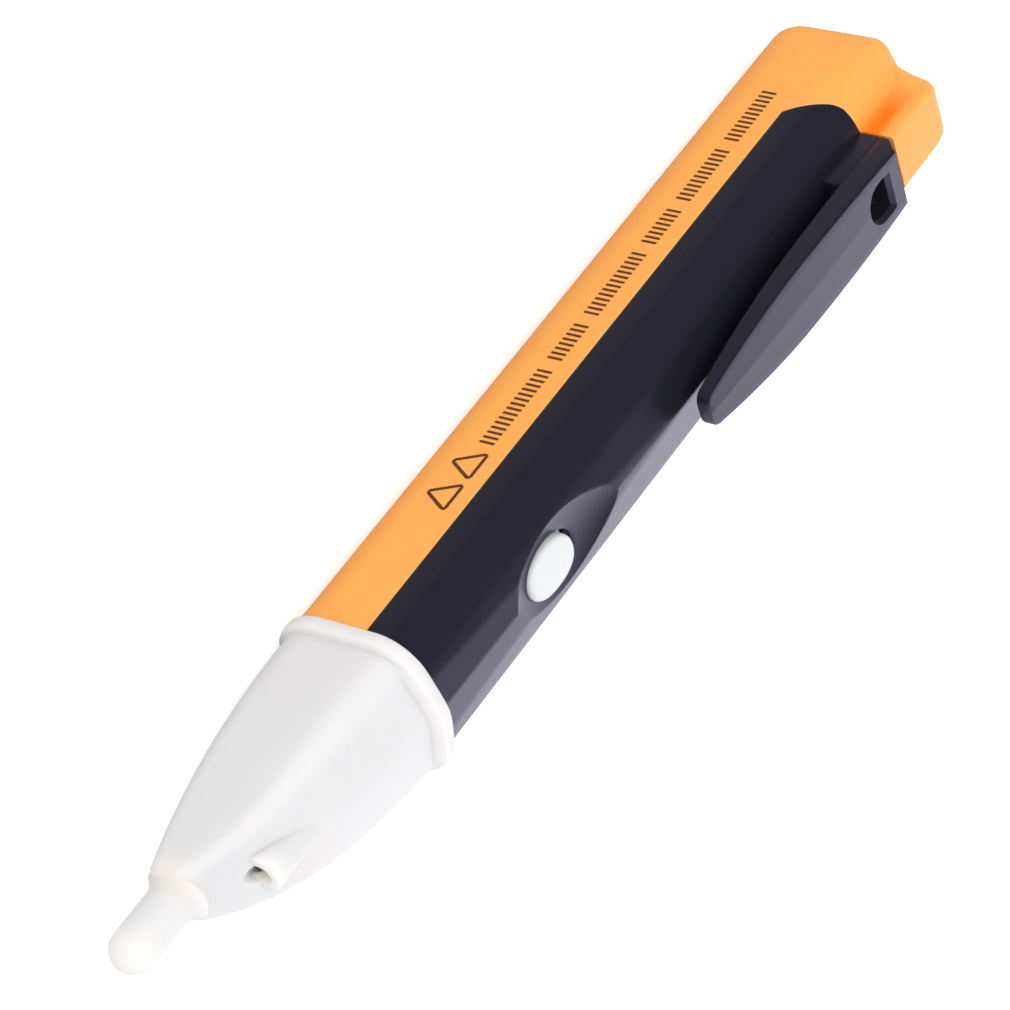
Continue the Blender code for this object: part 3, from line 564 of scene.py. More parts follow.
def leafHalf(x):
    # how far out the scoop meets the front
    low, high = 0.0, dish["halfWidth"] + 1
    for _ in range(24):
        middle = (low + high) / 2
        if frontHeight(x, middle) > scoopHeight(x):
            low = middle
        else:
            high = middle
    return low


def dishLevels():
    hole = dish["holeShare"]
    inner = [hole * k / 8 for k in range(9)]
    slope = [mix(hole, 0.94, k / 9) for k in range(1, 10)]
    rim = [0.965, 0.985, 1.0, 1.015, 1.035, 1.07, dish["reach"]]
    return [*inner, *slope, *rim]


def dishPlace(u, v):
    # bends the square mesh round the dish into leaves and ovals
    ring = max(abs(u), abs(v))
    size = math.hypot(u, v)
    if ring > dish["reach"] + 0.0001 or size == 0:
        return None
    roundU, roundV = u / size, v / size
    leafX = dish["x"] + roundU * dish["halfLength"]
    leafY = math.copysign(leafHalf(leafX), roundV) if abs(roundV) > 0.0001 else 0.0
    if ring > 1:
        share = (ring - 1) / (dish["reach"] - 1)
        x = mix(dish["x"] + (leafX - dish["x"]) * ring, dish["x"] + dish["halfLength"] * u, share)
        y = mix(leafY * ring, dish["halfWidth"] * v, share)
        return x, y, frontHeight(x, y)
    share = max(0.0, (ring - dish["holeShare"]) / (1 - dish["holeShare"]))
    holeLength = button["halfLength"] + dish["holeGap"] + dish["tailGap"]
    holeWidth = button["halfWidth"] + dish["holeGap"]
    x = mix(buttonX - dish["tailGap"] + roundU * holeLength, leafX, share)
    y = mix(roundV * holeWidth, leafY, share)
    endward = (x - dish["x"]) / dish["halfLength"]
    aside = clamp(abs(y) / max(leafHalf(x), 0.05))
    hollow = dish["hollow"] * (1 - aside * aside) * (1 - endward * endward)
    return x, y, min(scoopHeight(x), frontHeight(x, y)) - hollow


rootBlock = {"x1": 22.0, "half": 4.08, "low": 8.0, "edge": 0.25}                 # the clip stands on it
latchPocket = {"x0": 10.0, "x1": 21.0, "half": 2.4, "low": 9.2, "top": 20.0, "edge": 0.2}


def makeHousing():
    levels = dishLevels()
    reach = dish["reach"]
    across = [level * dish["halfWidth"] for level in levels]
    across += spaced(across[-1], heightLimitY, 0.45)[1:]
    columns = mirroredColumns(frontSide(across))
    along = [dish["x"] + side * level * dish["halfLength"]
             for side, chosen in ((-1, reversed(levels[1:])), (1, levels)) for level in chosen]
    tail = seamLine[-1][0]
    before = [tail, tail + 0.3, tail + 0.8, *spaced(tail + 1.5, along[0], 0.9)]
    after = spaced(along[-1], jointX - 1.0, 0.9)[1:]
    stations = [*before[:-1], *along, *after, jointX - 0.4, jointX - handle["seamGap"]]
    settled = tail + 12                          # the slant of the seam has faded out here

    bm = bmesh.new()
    grid = []
    hole = set()
    for x in stations:
        row = []
        for column in columns:
            y, z = columnPlace(column, x)
            start = seamX(z) + handle["seamGap"]
            place = x if x >= settled else mix(start, settled, (x - tail) / (settled - tail))
            z += handle["seamGap"] if z <= handle["seamZ"] + 0.001 else 0
            u, v = (x - dish["x"]) / dish["halfLength"], y / dish["halfWidth"]
            ringed = max(abs(u), abs(v))
            bowl = dishPlace(u, v) if ringed <= reach + 0.0001 else None
            if bowl:
                place, y, z = bowl
            vertex = bm.verts.new(at(place, y, z))
            if ringed < dish["holeShare"] - 0.0001:
                hole.add(vertex)
            row.append(vertex)
        grid.append(row)
    for low, high in zip(grid, grid[1:]):
        for k in range(len(columns) - 1):
            corners = (low[k], high[k], high[k + 1], low[k + 1])
            if not any(corner in hole for corner in corners):
                bm.faces.new(corners)
    bmesh.ops.delete(bm, geom=list(hole), context="VERTS")
    bm.normal_update()
    if sum(face.normal.z for face in bm.faces) < 0:
        bmesh.ops.reverse_faces(bm, faces=bm.faces)
    housing = newObject("housingShell", bm)
    addWall(housing, handle["wall"])
    addBevel(housing, 0.1, 2, 60)
    settle(housing)

    root = {**rootBlock, "x0": tail + handle["seamGap"], "top": clip["backZ"] - 0.02}
    combine(housing, "UNION", roundedBar("rootBlock", root))
    combine(housing, "DIFFERENCE", roundedBar("latchPocket", latchPocket))
    return finishPiece(housing, "handle", "housing_black", "front_housing")


def roundedBar(name, size):
    # a block along x whose edges are rounded
    outline = [(-size["half"], size["low"]), (size["half"], size["low"]),
               (size["half"], size["top"]), (-size["half"], size["top"])]
    bar = loft(name, sectionRings(lambda x: outline, (size["x0"], size["x1"])))
    addBevel(bar, size["edge"], 3)
    return settle(bar)


clip = {
    "startX": 12.6, "slantX": 14.6, "tipX": 59.2, "half": 4.1, "belly": 0.74, "taper": 1.85, "tipRound": 1.2,
    "backZ": 12.12, "backRise": 0.5, "riseFrom": 20.0, "frontZ": 15.5, "droop": 1.2,
    "edge": 0.38, "ridge": 0.12, "taperFrom": 38.0,
    "windowX": 17.0, "windowHalf": 2.6, "windowFlare": 0.55, "windowCorner": 0.35,
}


def clipHalf(x):
    belly = clip["belly"] * math.sin(math.pi * clamp((x - clip["startX"]) / 50) ** 0.8)
    taper = clip["taper"] * clamp((x - clip["taperFrom"]) / (clip["tipX"] - clip["taperFrom"])) ** 1.8
    end = clamp((x - clip["tipX"]) / clip["tipRound"] + 1)
    return clip["half"] + belly - taper - clip["tipRound"] * (1 - math.sqrt(1 - end * end))


def clipFront(x):
    slant = max(0.0, clip["slantX"] - x)
    return clip["frontZ"] - clip["droop"] * (x / clip["tipX"]) ** 2 - slant


def clipSection(x):
    half = clipHalf(x)
    back = clip["backZ"] + clip["backRise"] * clamp((x - clip["riseFrom"]) / (clip["tipX"] - clip["riseFrom"]))
    front = clipFront(x)
    edge = min(clip["edge"], half * 0.45)
    ridge = clip["ridge"] * smooth((x - 16) / 14) * min(1.0, half / clip["half"])
    right = [(half * share, back) for share in (0.0, 0.5)]
    right += arcPoints(half - edge * 0.5, back + edge * 0.5, edge * 0.5, -90, 0, 4)
    right += [(half, mix(back, front, share)) for share in (0.4, 0.6)]
    right += arcPoints(half - edge, front - edge, edge, 0, 90, 6)
    inner = half - edge
    right += [(inner * share, front + ridge * (1 - share) ** 1.2) for share in (0.75, 0.5, 0.3, 0.15, 0.05, 0.0)]
    return [*right, *mirrored(right)[1:-1]]


def makeClip():
    straight = [clip["startX"], clip["slantX"] - 0.1, clip["slantX"], clip["slantX"] + 0.1]
    straight += spaced(clip["slantX"] + 0.8, clip["tipX"] - clip["tipRound"], 0.9)
    tip = [clip["tipX"] - clip["tipRound"] * (1 - math.sin(math.radians(a))) for a in range(6, 91, 6)]
    arm = loft("clipArm", sectionRings(clipSection, (*straight, *tip)))

    rings = []
    faceZ = clipFront(clip["windowX"] + 2)
    levels = [(8.0, 0.0), (faceZ - clip["windowFlare"], 0.0)]
    levels += [(faceZ - clip["windowFlare"] * math.cos(math.radians(a)),
                clip["windowFlare"] * (1 - math.sin(math.radians(90 - a)))) for a in (25, 45, 60, 75, 90)]
    levels.append((faceZ + 1.0, clip["windowFlare"]))
    for z, grown in levels:
        half = clip["windowHalf"] - 0.3 + grown
        centreX = clip["windowX"] + 2.4
        nosePart = [(centreX + half * math.cos(a), half * math.sin(a))
                    for a in (math.radians(mix(-90, 90, k / 20)) for k in range(21))]
        corner = clip["windowCorner"]
        tailPart = [(clip["windowX"] + 0.3 - grown + corner * (1 - math.sin(a)), half - corner * (1 - math.cos(a)))
                    for a in (math.radians(mix(0, 90, k / 4)) for k in range(5))]
        outline = [*nosePart, *tailPart, *[(x, -y) for x, y in reversed(tailPart)]]
        rings.append([at(x, y, z) for x, y in outline])
    combine(arm, "DIFFERENCE", loft("window", rings))
    return finishPiece(arm, "clip", "housing_black", "pocket_clip", 40)


tailEnd = {"radius": 2.0, "inset": 0.85, "cornerRadius": 2.3, "cornerUntil": 12.2}   # corners tighten at the tail
tailBlock = {"x0": 0.3, "x1": 12.26, "half": 4.1, "top": 13.8, "low": 8.3, "corner": 0.5, "tailCorner": 1.4,
             "noseIn": 2.2, "narrowing": 0.7, "lowering": 1.9,       # how the block rounds off towards the tail
             "flareOut": 2.3, "flareTop": 12.4}
latchTongue = {"x0": 9.0, "x1": 19.6, "half": 1.9, "low": 9.6, "top": 11.3, "edge": 0.25}


def tailBlockSection(x):
    near = clamp((x - tailBlock["x0"]) / tailBlock["noseIn"])
    rounding = math.sqrt(1 - (1 - near) ** 2)
    half = tailBlock["half"] - tailBlock["narrowing"] * (1 - rounding)
    top = tailBlock["top"] - tailBlock["lowering"] * (1 - rounding)
    corner = mix(tailBlock["tailCorner"], tailBlock["corner"], smooth((x - tailBlock["x0"]) / 4))
    lift = smooth(1 - abs(x - 1.5) / 1.7)            # closes the groove at the tail
    right = arcPoints(half - corner, top - corner, corner, 90, 0, 8)
    for z in (mix(top - corner, tailBlock["low"], k / 9) for k in range(1, 10)):
        depth = clamp((tailBlock["flareTop"] - z) / (tailBlock["flareTop"] - tailBlock["low"]))
        right.append((half + tailBlock["flareOut"] * lift * depth ** 1.5, z))
    return [*right, *mirrored(right)]


def tailPlace(y, z, x):
    # a point of the plain section, moved to where the tighter corner of the tail has it
    if x >= tailEnd["cornerUntil"] or z <= handle["frontArcZ"]:
        return y, z
    radius = mix(tailEnd["cornerRadius"], handle["frontRadius"], smooth((x - 1) / (tailEnd["cornerUntil"] - 1)))
    tilt = math.radians(handle["roofTilt"])
    centreY = halfWidth - radius
    reach = shoulderY * math.sin(tilt) + shoulderZ * math.cos(tilt)
    centreZ = (reach - radius - centreY * math.sin(tilt)) / math.cos(tilt)
    aside = abs(y)
    if aside > shoulderY:
        angle = math.atan2(z - handle["frontArcZ"], aside - cornerY)
        return math.copysign(centreY + radius * math.cos(angle), y), centreZ + radius * math.sin(angle)
    aside *= (centreY + radius * math.sin(tilt)) / shoulderY
    return math.copysign(aside, y), roofHeight(x, aside)


def makeSleeve():
    spread = spaced(0.0, heightLimitY, 0.5)
    front = mirroredColumns(frontSide(spread))
    back = backSide()
    ring = [*front[::-1][:-1], *back[::-1][:-1]]
    trough = range(len(front) - 1, len(ring) + 1)        # the ring runs over the front, then round the back
    radius = tailEnd["radius"]
    seamEnd = seamLine[0][0]
    ends = [0.0, 0.04, 0.12, 0.28, 0.5, 0.8, 1.15, 1.55, radius]
    shares = [k / 13 for k in range(1, 14)]

    bm = bmesh.new()
    rows = []
    for x in ends:
        inset = radius * tailEnd["inset"] * (1 - math.sqrt(1 - (1 - x / radius) ** 2))
        scale = 1 - inset / halfWidth
        rows.append([bm.verts.new(at(x, y * scale, z * scale))
                     for y, z in (tailPlace(*columnPlace(c, x), x) for c in ring)])
    for share in shares:
        row = []
        for column in ring:
            y, z = columnPlace(column, radius)
            end = seamX(z) if z > handle["seamZ"] else seamEnd
            x = mix(radius, end, share)
            row.append(bm.verts.new(at(x, *tailPlace(y, z, x))))
        rows.append(row)
    for low, high in zip(rows, rows[1:]):
        for k in range(len(ring)):
            n = (k + 1) % len(ring)
            bm.faces.new((low[k], low[n], high[n], high[k]))
    edge = [rows[-1][k % len(ring)] for k in trough]
    for x in [*spaced(seamEnd, jointX - handle["seamGap"] - 0.4, 1.2)[1:], jointX - handle["seamGap"]]:
        fresh = [bm.verts.new(at(x, *columnPlace(ring[k % len(ring)], x))) for k in trough]
        for k in range(len(edge) - 1):
            bm.faces.new((edge[k], edge[k + 1], fresh[k + 1], fresh[k]))
        edge = fresh
    inner = rows[0]
    for scale in (0.93, 0.8, 0.6, 0.4, 0.2):
        smaller = [bm.verts.new(at(0, v.co.y / mm * scale, (v.co.z - middleZ) / mm * scale)) for v in rows[0]]
        for k in range(len(ring)):
            n = (k + 1) % len(ring)
            bm.faces.new((smaller[k], smaller[n], inner[n], inner[k]))
        inner = smaller
    middle = bm.verts.new(at(0, 0, 0))
    for k in range(len(ring)):
        bm.faces.new((middle, inner[(k + 1) % len(ring)], inner[k]))
    bmesh.ops.recalc_face_normals(bm, faces=bm.faces)
    bm.normal_update()
    if sum(face.normal.z * face.calc_area() for face in bm.faces) > 0:
        bmesh.ops.reverse_faces(bm, faces=bm.faces)     # the open trough faces down and out
    sleeve = newObject("sleeveShell", bm)
    addWall(sleeve, handle["wall"])
    addBevel(sleeve, 0.12, 2, 60)
    settle(sleeve)

    stations = [tailBlock["x0"] + tailBlock["noseIn"] * (1 - math.cos(math.radians(a))) for a in range(0, 91, 9)]
    stations += spaced(stations[-1], tailBlock["x1"], 1.0)[1:]
    combine(sleeve, "UNION", loft("tailBlock", sectionRings(tailBlockSection, stations)))
    combine(sleeve, "UNION", roundedBar("latchTongue", latchTongue))
    return finishPiece(sleeve, "sleeve", "sleeve_yellow", "rear_sleeve")


def makeButton():
    top = buttonTop + button["proud"]
    seat = (buttonLow.z - middleZ) / mm
    flange = button["flange"]
    levels = [(seat, flange - 0.05), (seat + 0.15, flange), (seat + 0.55, flange), (seat + 0.7, flange - 0.15),
              (seat + 0.72, 0.0)]
    edge = button["edge"]
    rim = top - button["dome"]
    levels.append((rim - edge, 0.0))
    levels += [(rim - edge * (1 - math.sin(math.radians(a))), -edge * (1 - math.cos(math.radians(a))))
               for a in range(15, 91, 15)]
    rings = [ovalRing(grown, z, 1.0) for z, grown in levels]
    rings += [ovalRing(-edge, rim + button["dome"] * (1 - share ** 2), share)
              for share in (0.9, 0.75, 0.55, 0.35, 0.15, 0.03)]
    cap = loft("buttonCap", rings)
    return finishPiece(cap, "button", "button_white", "button_cap", 50)


def ovalRing(grown, z, scale, count=72):
    points = []
    power = button["squareness"]
    for k in range(count):
        angle = 2 * math.pi * k / count
        across, along = math.sin(angle), math.cos(angle)
        size = (abs(along) ** power + abs(across) ** power) ** (-1 / power)
        x = (button["halfLength"] + grown) * scale * along * size
        y = (button["halfWidth"] + grown) * scale * across * size
        points.append(at(buttonX + x, y, z))
    return points


nose = {
    "endX": 144.5, "wall": 1.3, "rimLength": 2.1,
    "crease": 0.5, "rimCrease": 0.75,                  # how round the long edges are
    "roofTilt": 15, "ridge": 0.25,
    "half": ((0, 9.4), (1.9, -5.6)),                   # from the rim to the tip: powers of the way, and amounts
    "front": ((0, 9.9), (1, -5.4), (5, -5.7)),
    "back": ((0, -9.9), (1, 1.6), (3, 1.4)),
    "bulk": ((0, 7.2), (1, -4.5)),
    "backRadius": ((0, 6.0), (1, -3.6)),
    "rimProfile": ((0.0, 0.5), (0.08, 0.68), (0.22, 0.8), (0.5, 0.87), (1.4, 0.87), (1.72, 0.76), (1.92, 0.55),
                   (2.05, 0.25), (2.2, 0.08)),         # along the rim, and how proud it stands
    "endProfile": ((144.0, 0.12), (144.4, 0.4), (144.7, 0.85), (144.85, 1.5)),
}
finger = {"radius": 2.77, "z": -3.75, "bore": 1.6}
torch = {"radius": 2.5, "z": 3.8, "bore": 1.8, "mouth": 1.3, "lip": 0.35, "startX": 120.0, "endX": 138.4}


def noseSize(name, share):
    return sum(amount * share ** power for power, amount in nose[name])


def noseSection(x, inset=0.0, steps=10, crease=nose["crease"]):
    share = clamp((x - jointX - nose["rimLength"]) / (nose["endX"] - jointX - nose["rimLength"]), 0.0, 1.1)
    names = ("half", "front", "bulk", "backRadius")
    half, front, bulk, backRadius = (noseSize(name, share) - inset for name in names)
    back = noseSize("back", share) + inset
    tilt = math.radians(nose["roofTilt"])
    corner = bulk * crease
    cornerZ = front - bulk + (bulk - corner) * (1 - math.sin(math.radians(40))) / math.cos(math.radians(40))
    low = arcPoints(half - backRadius, back + backRadius, backRadius, -90, 0, steps)
    edge = arcPoints(half - corner, cornerZ, corner, 0, 90 - nose["roofTilt"], steps)
    roofY, roofZ = edge[-1]
    for share in (0.8, 0.6, 0.4, 0.2, 0.0):
        y = roofY * share
        soft = math.hypot(y, nose["ridge"] * roofY) - math.hypot(roofY, nose["ridge"] * roofY)
        edge.append((y, roofZ - soft * math.tan(tilt)))
    return [*low, *edge, *mirrored(edge)[1:], *mirrored(low)]


def turnedX(name, profile, z, sides=48):
    # a solid turned about a line along x, from (x, radius) pairs
    rings = []
    for x, radius in profile:
        angles = [2 * math.pi * k / sides for k in range(sides)]
        rings.append([at(x, radius * math.cos(a), z + radius * math.sin(a)) for a in angles])
    return loft(name, rings)


def makeNose():
    rings = [[at(jointX + x, y, z) for y, z in noseSection(jointX, -proud, 10, nose["rimCrease"])]
             for x, proud in nose["rimProfile"]]
    rings += sectionRings(noseSection, spaced(jointX + 2.6, 143.6, 1.0))
    rings += [[at(x, y, z) for y, z in noseSection(144.1, inset)] for x, inset in nose["endProfile"]]
    shell = loft("noseLens", rings)

    centreX = noseHigh.x / mm - tailX / mm - finger["radius"]
    tip = [(140.0, finger["radius"] + 0.3)]
    tip += [(mix(144.0, 146.0, k / 6), finger["radius"] + 1.1 * (1 - k / 6) ** 2) for k in range(7)]
    tip += [(x, finger["radius"]) for x in spaced(146.5, centreX, 1.0)]
    tip += [(centreX + finger["radius"] * math.sin(math.radians(a)), finger["radius"] * math.cos(math.radians(a)))
            for a in (8, 16, 24, 32, 40, 48, 56, 64, 71, 77, 82, 86, 89)]
    combine(shell, "UNION", turnedX("finger", tip, finger["z"]))
    lip = torch["lip"]
    tube = [(torch["startX"], torch["radius"]), (torch["endX"] - lip, torch["radius"])]
    tube += [(torch["endX"] - lip + lip * math.sin(math.radians(a)),
              torch["radius"] - lip + lip * math.cos(math.radians(a))) for a in (22, 45, 67, 90)]
    combine(shell, "UNION", turnedX("torchTube", tube, torch["z"]))
    hollowed = (jointX - 5, *spaced(jointX + 2.7, 142.0, 1.2))
    combine(shell, "DIFFERENCE", loft("cavity", sectionRings(noseSection, hollowed, nose["wall"], 8)))
    socket = [(x, torch["radius"] - 0.05) for x in spaced(128.6, torch["endX"] - 1.4, 2.0)]
    combine(shell, "UNION", turnedX("torchSocket", socket, torch["z"], 40))
    bore = torch["bore"]
    mouthRadius = torch["mouth"]
    mouth = [(jointX, bore), (torch["endX"] - 2.2, bore), (torch["endX"] - 1.9, mouthRadius),
             (torch["endX"] - 0.2, mouthRadius), (torch["endX"] + 0.1, mouthRadius + 0.12),
             (torch["endX"] + 9, mouthRadius + 0.12)]
    combine(shell, "DIFFERENCE", turnedX("torchBore", mouth, torch["z"], 40))
    hollow = [(128.0, finger["bore"]), (150.4, finger["bore"]), (151.2, finger["bore"] / 2)]
    combine(shell, "DIFFERENCE", turnedX("fingerBore", hollow, finger["z"], 32))
    return finishPiece(shell, "handle", "nose_white", "nose_lens", 28)


def newGeometryTree(name, sizes, paint):
    # a tree with named inputs for its sizes and for its material
    tree = bpy.data.node_groups.new(name, "GeometryNodeTree")
    tree.interface.new_socket("Geometry", in_out="INPUT", socket_type="NodeSocketGeometry")
    for label in sizes:
        tree.interface.new_socket(label, in_out="INPUT", socket_type="NodeSocketFloat")
    tree.interface.new_socket(paint, in_out="INPUT", socket_type="NodeSocketMaterial")
    tree.interface.new_socket("Geometry", in_out="OUTPUT", socket_type="NodeSocketGeometry")
    return tree, tree.nodes.new("NodeGroupInput").outputs


def endTree(tree, shape, paint):
    real = addNode(tree, "GeometryNodeRealizeInstances", {"Geometry": shape})
    painted = addNode(tree, "GeometryNodeSetMaterial", {"Geometry": real.outputs["Geometry"], "Material": paint})
    addNode(tree, "NodeGroupOutput", {"Geometry": painted.outputs["Geometry"]})
    return tree


def placeOnPoints(tree, points, shape):
    # puts the shape on every point, upright on the side of the sleeve
    values = {"Points": points, "Instance": shape, "Rotation": (math.radians(90), 0, 0)}
    return addNode(tree, "GeometryNodeInstanceOnPoints", values).outputs["Instances"]


def addRectangle(tree, width, height):
    values = {"Width": width, "Height": height}
    return addNode(tree, "GeometryNodeCurvePrimitiveQuadrilateral", values).outputs["Curve"]


def roundCorners(tree, curve, radius, count):
    values = {"Curve": curve, "Radius": radius, "Count": count}
    return addNode(tree, "GeometryNodeFilletCurve", values, mode="POLY").outputs["Curve"]


def runTree(obj, tree, values):
    modifier = obj.modifiers.new(tree.name, "NODES")
    modifier.node_group = tree
    for item in tree.interface.items_tree:
        if item.item_type == "SOCKET" and item.in_out == "INPUT" and item.name in values:
            modifier[item.identifier] = values[item.name]
    return settle(obj)


def makeStrokeTree():
    # a thin upright stroke with rounded corners
    tree, given = newGeometryTree("inkStroke", ("Stroke Width", "Stroke Height", "Corner", "Film"), "Ink")
    outline = roundCorners(tree, addRectangle(tree, given["Stroke Width"], given["Stroke Height"]),
                           given["Corner"], 3)
    face = addNode(tree, "GeometryNodeFillCurve", {"Curve": outline}, mode="NGONS").outputs["Mesh"]
    raised = addNode(tree, "GeometryNodeExtrudeMesh", {
        "Mesh": face, "Offset Scale": given["Film"], "Individual": False})
    under = addNode(tree, "GeometryNodeFlipFaces", {"Mesh": face})
    join = addNode(tree, "GeometryNodeJoinGeometry")
    for half in (under, raised):
        connect(tree, half.outputs["Mesh"], join.inputs["Geometry"])
    weld = addNode(tree, "GeometryNodeMergeByDistance", {
        "Geometry": join.outputs["Geometry"], "Distance": 0.000001})
    return endTree(tree, placeOnPoints(tree, given["Geometry"], weld.outputs["Geometry"]), given["Ink"])


def makeSignTree():
    # an empty triangle with rounded corners
    tree, given = newGeometryTree("emptySign", ("Sign Radius", "Line Width", "Corner", "Film"), "Ink")
    corners = addNode(tree, "GeometryNodeCurvePrimitiveCircle", {"Resolution": 3, "Radius": given["Sign Radius"]})
    line = roundCorners(tree, corners.outputs["Curve"], given["Corner"], 5)
    section = addRectangle(tree, given["Line Width"], given["Film"])
    sweep = addNode(tree, "GeometryNodeCurveToMesh", {"Curve": line, "Profile Curve": section})
    turned = addNode(tree, "GeometryNodeTransform", {
        "Geometry": sweep.outputs["Mesh"], "Rotation": (0, 0, math.radians(-90))})
    return endTree(tree, placeOnPoints(tree, given["Geometry"], turned.outputs["Geometry"]), given["Ink"])


padPrint = {
    "side": -halfWidth + 0.005, "film": 0.035,
    "lineFrom": 79.7, "lineZ": -1.48, "strokeHeight": 2.1, "strokeWidth": 0.36, "strokeCorner": 0.1,
    "wordStrokes": (16, 8, 14, 8, 12, 12), "strokePitch": 0.84, "wordGap": 1.5,
    "signX": (88.8, 83.5), "signZ": -1.45, "signRadius": 2.5, "signLine": 0.42, "signCorner": 0.3,
}


def makePadPrint():
    # six groups of plain strokes in one row, and two empty signs, with no lettering
    x = padPrint["lineFrom"]
    points = []
    for strokes in padPrint["wordStrokes"]:
        for _ in range(strokes):
            points.append(at(x, padPrint["side"], padPrint["lineZ"]))
            x -= padPrint["strokePitch"]
        x -= padPrint["wordGap"]
    strokeRow = wireObject("printStrokes", points)
    runTree(strokeRow, makeStrokeTree(), {
        "Stroke Width": padPrint["strokeWidth"] * mm, "Stroke Height": padPrint["strokeHeight"] * mm,
        "Corner": padPrint["strokeCorner"] * mm, "Film": padPrint["film"] * mm, "Ink": brownInk})
    signs = wireObject("printSigns", [at(x, padPrint["side"], padPrint["signZ"]) for x in padPrint["signX"]])
    runTree(signs, makeSignTree(), {
        "Sign Radius": padPrint["signRadius"] * mm, "Line Width": padPrint["signLine"] * mm,
        "Corner": padPrint["signCorner"] * mm, "Film": padPrint["film"] * 2 * mm, "Ink": brownInk})
    for piece in (strokeRow, signs):
        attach(piece, "sleeve")


chipLegs = {
    "width": 0.42, "thickness": 0.14, "reach": 0.75,     # across a leg, its strip, and how far its foot goes out
    "pitch": {"controller_chip": 1.27, "amplifier_chip": 0.65, "sense_transistor": 1.9},
    "count": {"controller_chip": (4, 4), "amplifier_chip": (4, 4), "sense_transistor": (2, 1)},
}


def makeLegTree():
    # sweeps a flat strip along every path
    tree, given = newGeometryTree("legStrip", ("Strip Width", "Strip Thickness"), "Metal")
    path = addNode(tree, "GeometryNodeMeshToCurve", {"Mesh": given["Geometry"]})
    section = addRectangle(tree, given["Strip Width"], given["Strip Thickness"])
    sweep = addNode(tree, "GeometryNodeCurveToMesh", {
        "Curve": path.outputs["Curve"], "Profile Curve": section, "Fill Caps": True})
    return endTree(tree, sweep.outputs["Mesh"], given["Metal"])


def makeChipLegs():
    points, edges = [], []
    for chip, counts in chipLegs["count"].items():
        low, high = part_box(chip)
        middle = (low + high) / 2
        for side, count in zip((-1, 1), counts):
            wall = middle.y + side * (high.y - low.y) / 2
            for k in range(count):
                x = middle.x + (k - (count - 1) / 2) * chipLegs["pitch"][chip] * mm
                foot = low.z + chipLegs["thickness"] * mm / 2
                knee = mix(low.z, high.z, 0.5)
                out = chipLegs["reach"] * mm * side
                start = len(points)
                points += [(x, wall - side * 0.1 * mm, knee), (x, wall + out * 0.3, knee),
                           (x, wall + out * 0.5, foot), (x, wall + out, foot)]
                edges += [(start + n, start + n + 1) for n in range(3)]
    legs = wireObject("chipLegs", points, edges)
    runTree(legs, makeLegTree(), {"Strip Width": chipLegs["width"] * mm, "Metal": materials["nickel_steel"],
                                  "Strip Thickness": chipLegs["thickness"] * mm})
    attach(legs, "handle")


endCaps = {
    "length": 0.45, "grow": 0.05, "round": 0.06,
    "parts": ("feedback_resistor", "torch_resistor", "alarm_resistor", "supply_capacitor", "filter_capacitor"),
}


def makeEndCaps():
    # plated ends that wrap the resistors and capacitors
    bm = bmesh.new()
    grow = endCaps["grow"] * mm
    for part in endCaps["parts"]:
        low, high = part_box(part)
        for end, inward in ((low.x, 1), (high.x, -1)):
            start = end - inward * grow
            stop = end + inward * endCaps["length"] * mm
            place = Vector(((start + stop) / 2, (low.y + high.y) / 2, (low.z + high.z) / 2))
            size = Vector((abs(stop - start), high.y - low.y + 2 * grow, high.z - low.z + 2 * grow))
            bmesh.ops.create_cube(bm, matrix=Matrix.LocRotScale(place, None, size))
    caps = addBevel(newObject("endCaps", bm), endCaps["round"], 2, 30)
    finishPiece(settle(caps), "handle", "nickel_steel", None)


solder = {
    "radius": 0.75, "height": 0.5, "inFromEnd": 0.5, "inFromSide": 0.3, "sides": 14, "steps": 5,
    "leads": ("torch_led_lead_left", "torch_led_lead_right", "alarm_led_lead_left", "alarm_led_lead_right"),
}


def makeSolder():
    # a small cone of solder where each lead meets the board
    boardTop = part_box("circuit_board")[1].z
    sides = solder["sides"]
    bm = bmesh.new()
    for lead in solder["leads"]:
        low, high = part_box(lead)
        x = low.x + solder["inFromEnd"] * mm
        y = max(low.y, high.y, key=abs) - math.copysign(solder["inFromSide"] * mm, low.y + high.y)
        rings = []
        for k in range(solder["steps"] + 1):
            angle = math.radians(mix(0, 86, k / solder["steps"]))
            radius = solder["radius"] * mm * (1 - math.sin(angle) * 0.999)
            z = boardTop + solder["height"] * mm * (1 - math.cos(angle))
            rings.append([bm.verts.new((x + radius * math.cos(a), y + radius * math.sin(a), z))
                          for a in (2 * math.pi * n / sides for n in range(sides))])
        for under, over in zip(rings, rings[1:]):
            for n in range(sides):
                bm.faces.new((under[n], under[(n + 1) % sides], over[(n + 1) % sides], over[n]))
        bm.faces.new(reversed(rings[0]))
        bm.faces.new(rings[-1])
    bmesh.ops.recalc_face_normals(bm, faces=bm.faces)
    finishPiece(newObject("solderCones", bm), "handle", "nickel_steel", None)


lightPipe = {"startX": 134.5, "endX": 137.3, "radius": 1.22}


def makeLightPipe():
    # the short clear rod between the torch lamp and the mouth of its tube
    radius = lightPipe["radius"]
    end = lightPipe["endX"]
    profile = [(lightPipe["startX"], radius - 0.15), (lightPipe["startX"] + 0.12, radius)]
    profile += [(end - 0.7 + 0.7 * math.sin(math.radians(a)), radius - 0.5 + 0.5 * math.cos(math.radians(a)))
                for a in (0, 18, 36, 54, 72)]
    profile += [(end, radius * 0.55), (end + 0.02, radius * 0.3), (end + 0.03, 0.03)]
    finishPiece(turnedX("torchLightPipe", profile, torch["z"], 40), "handle", "clear_lens", None, 60)


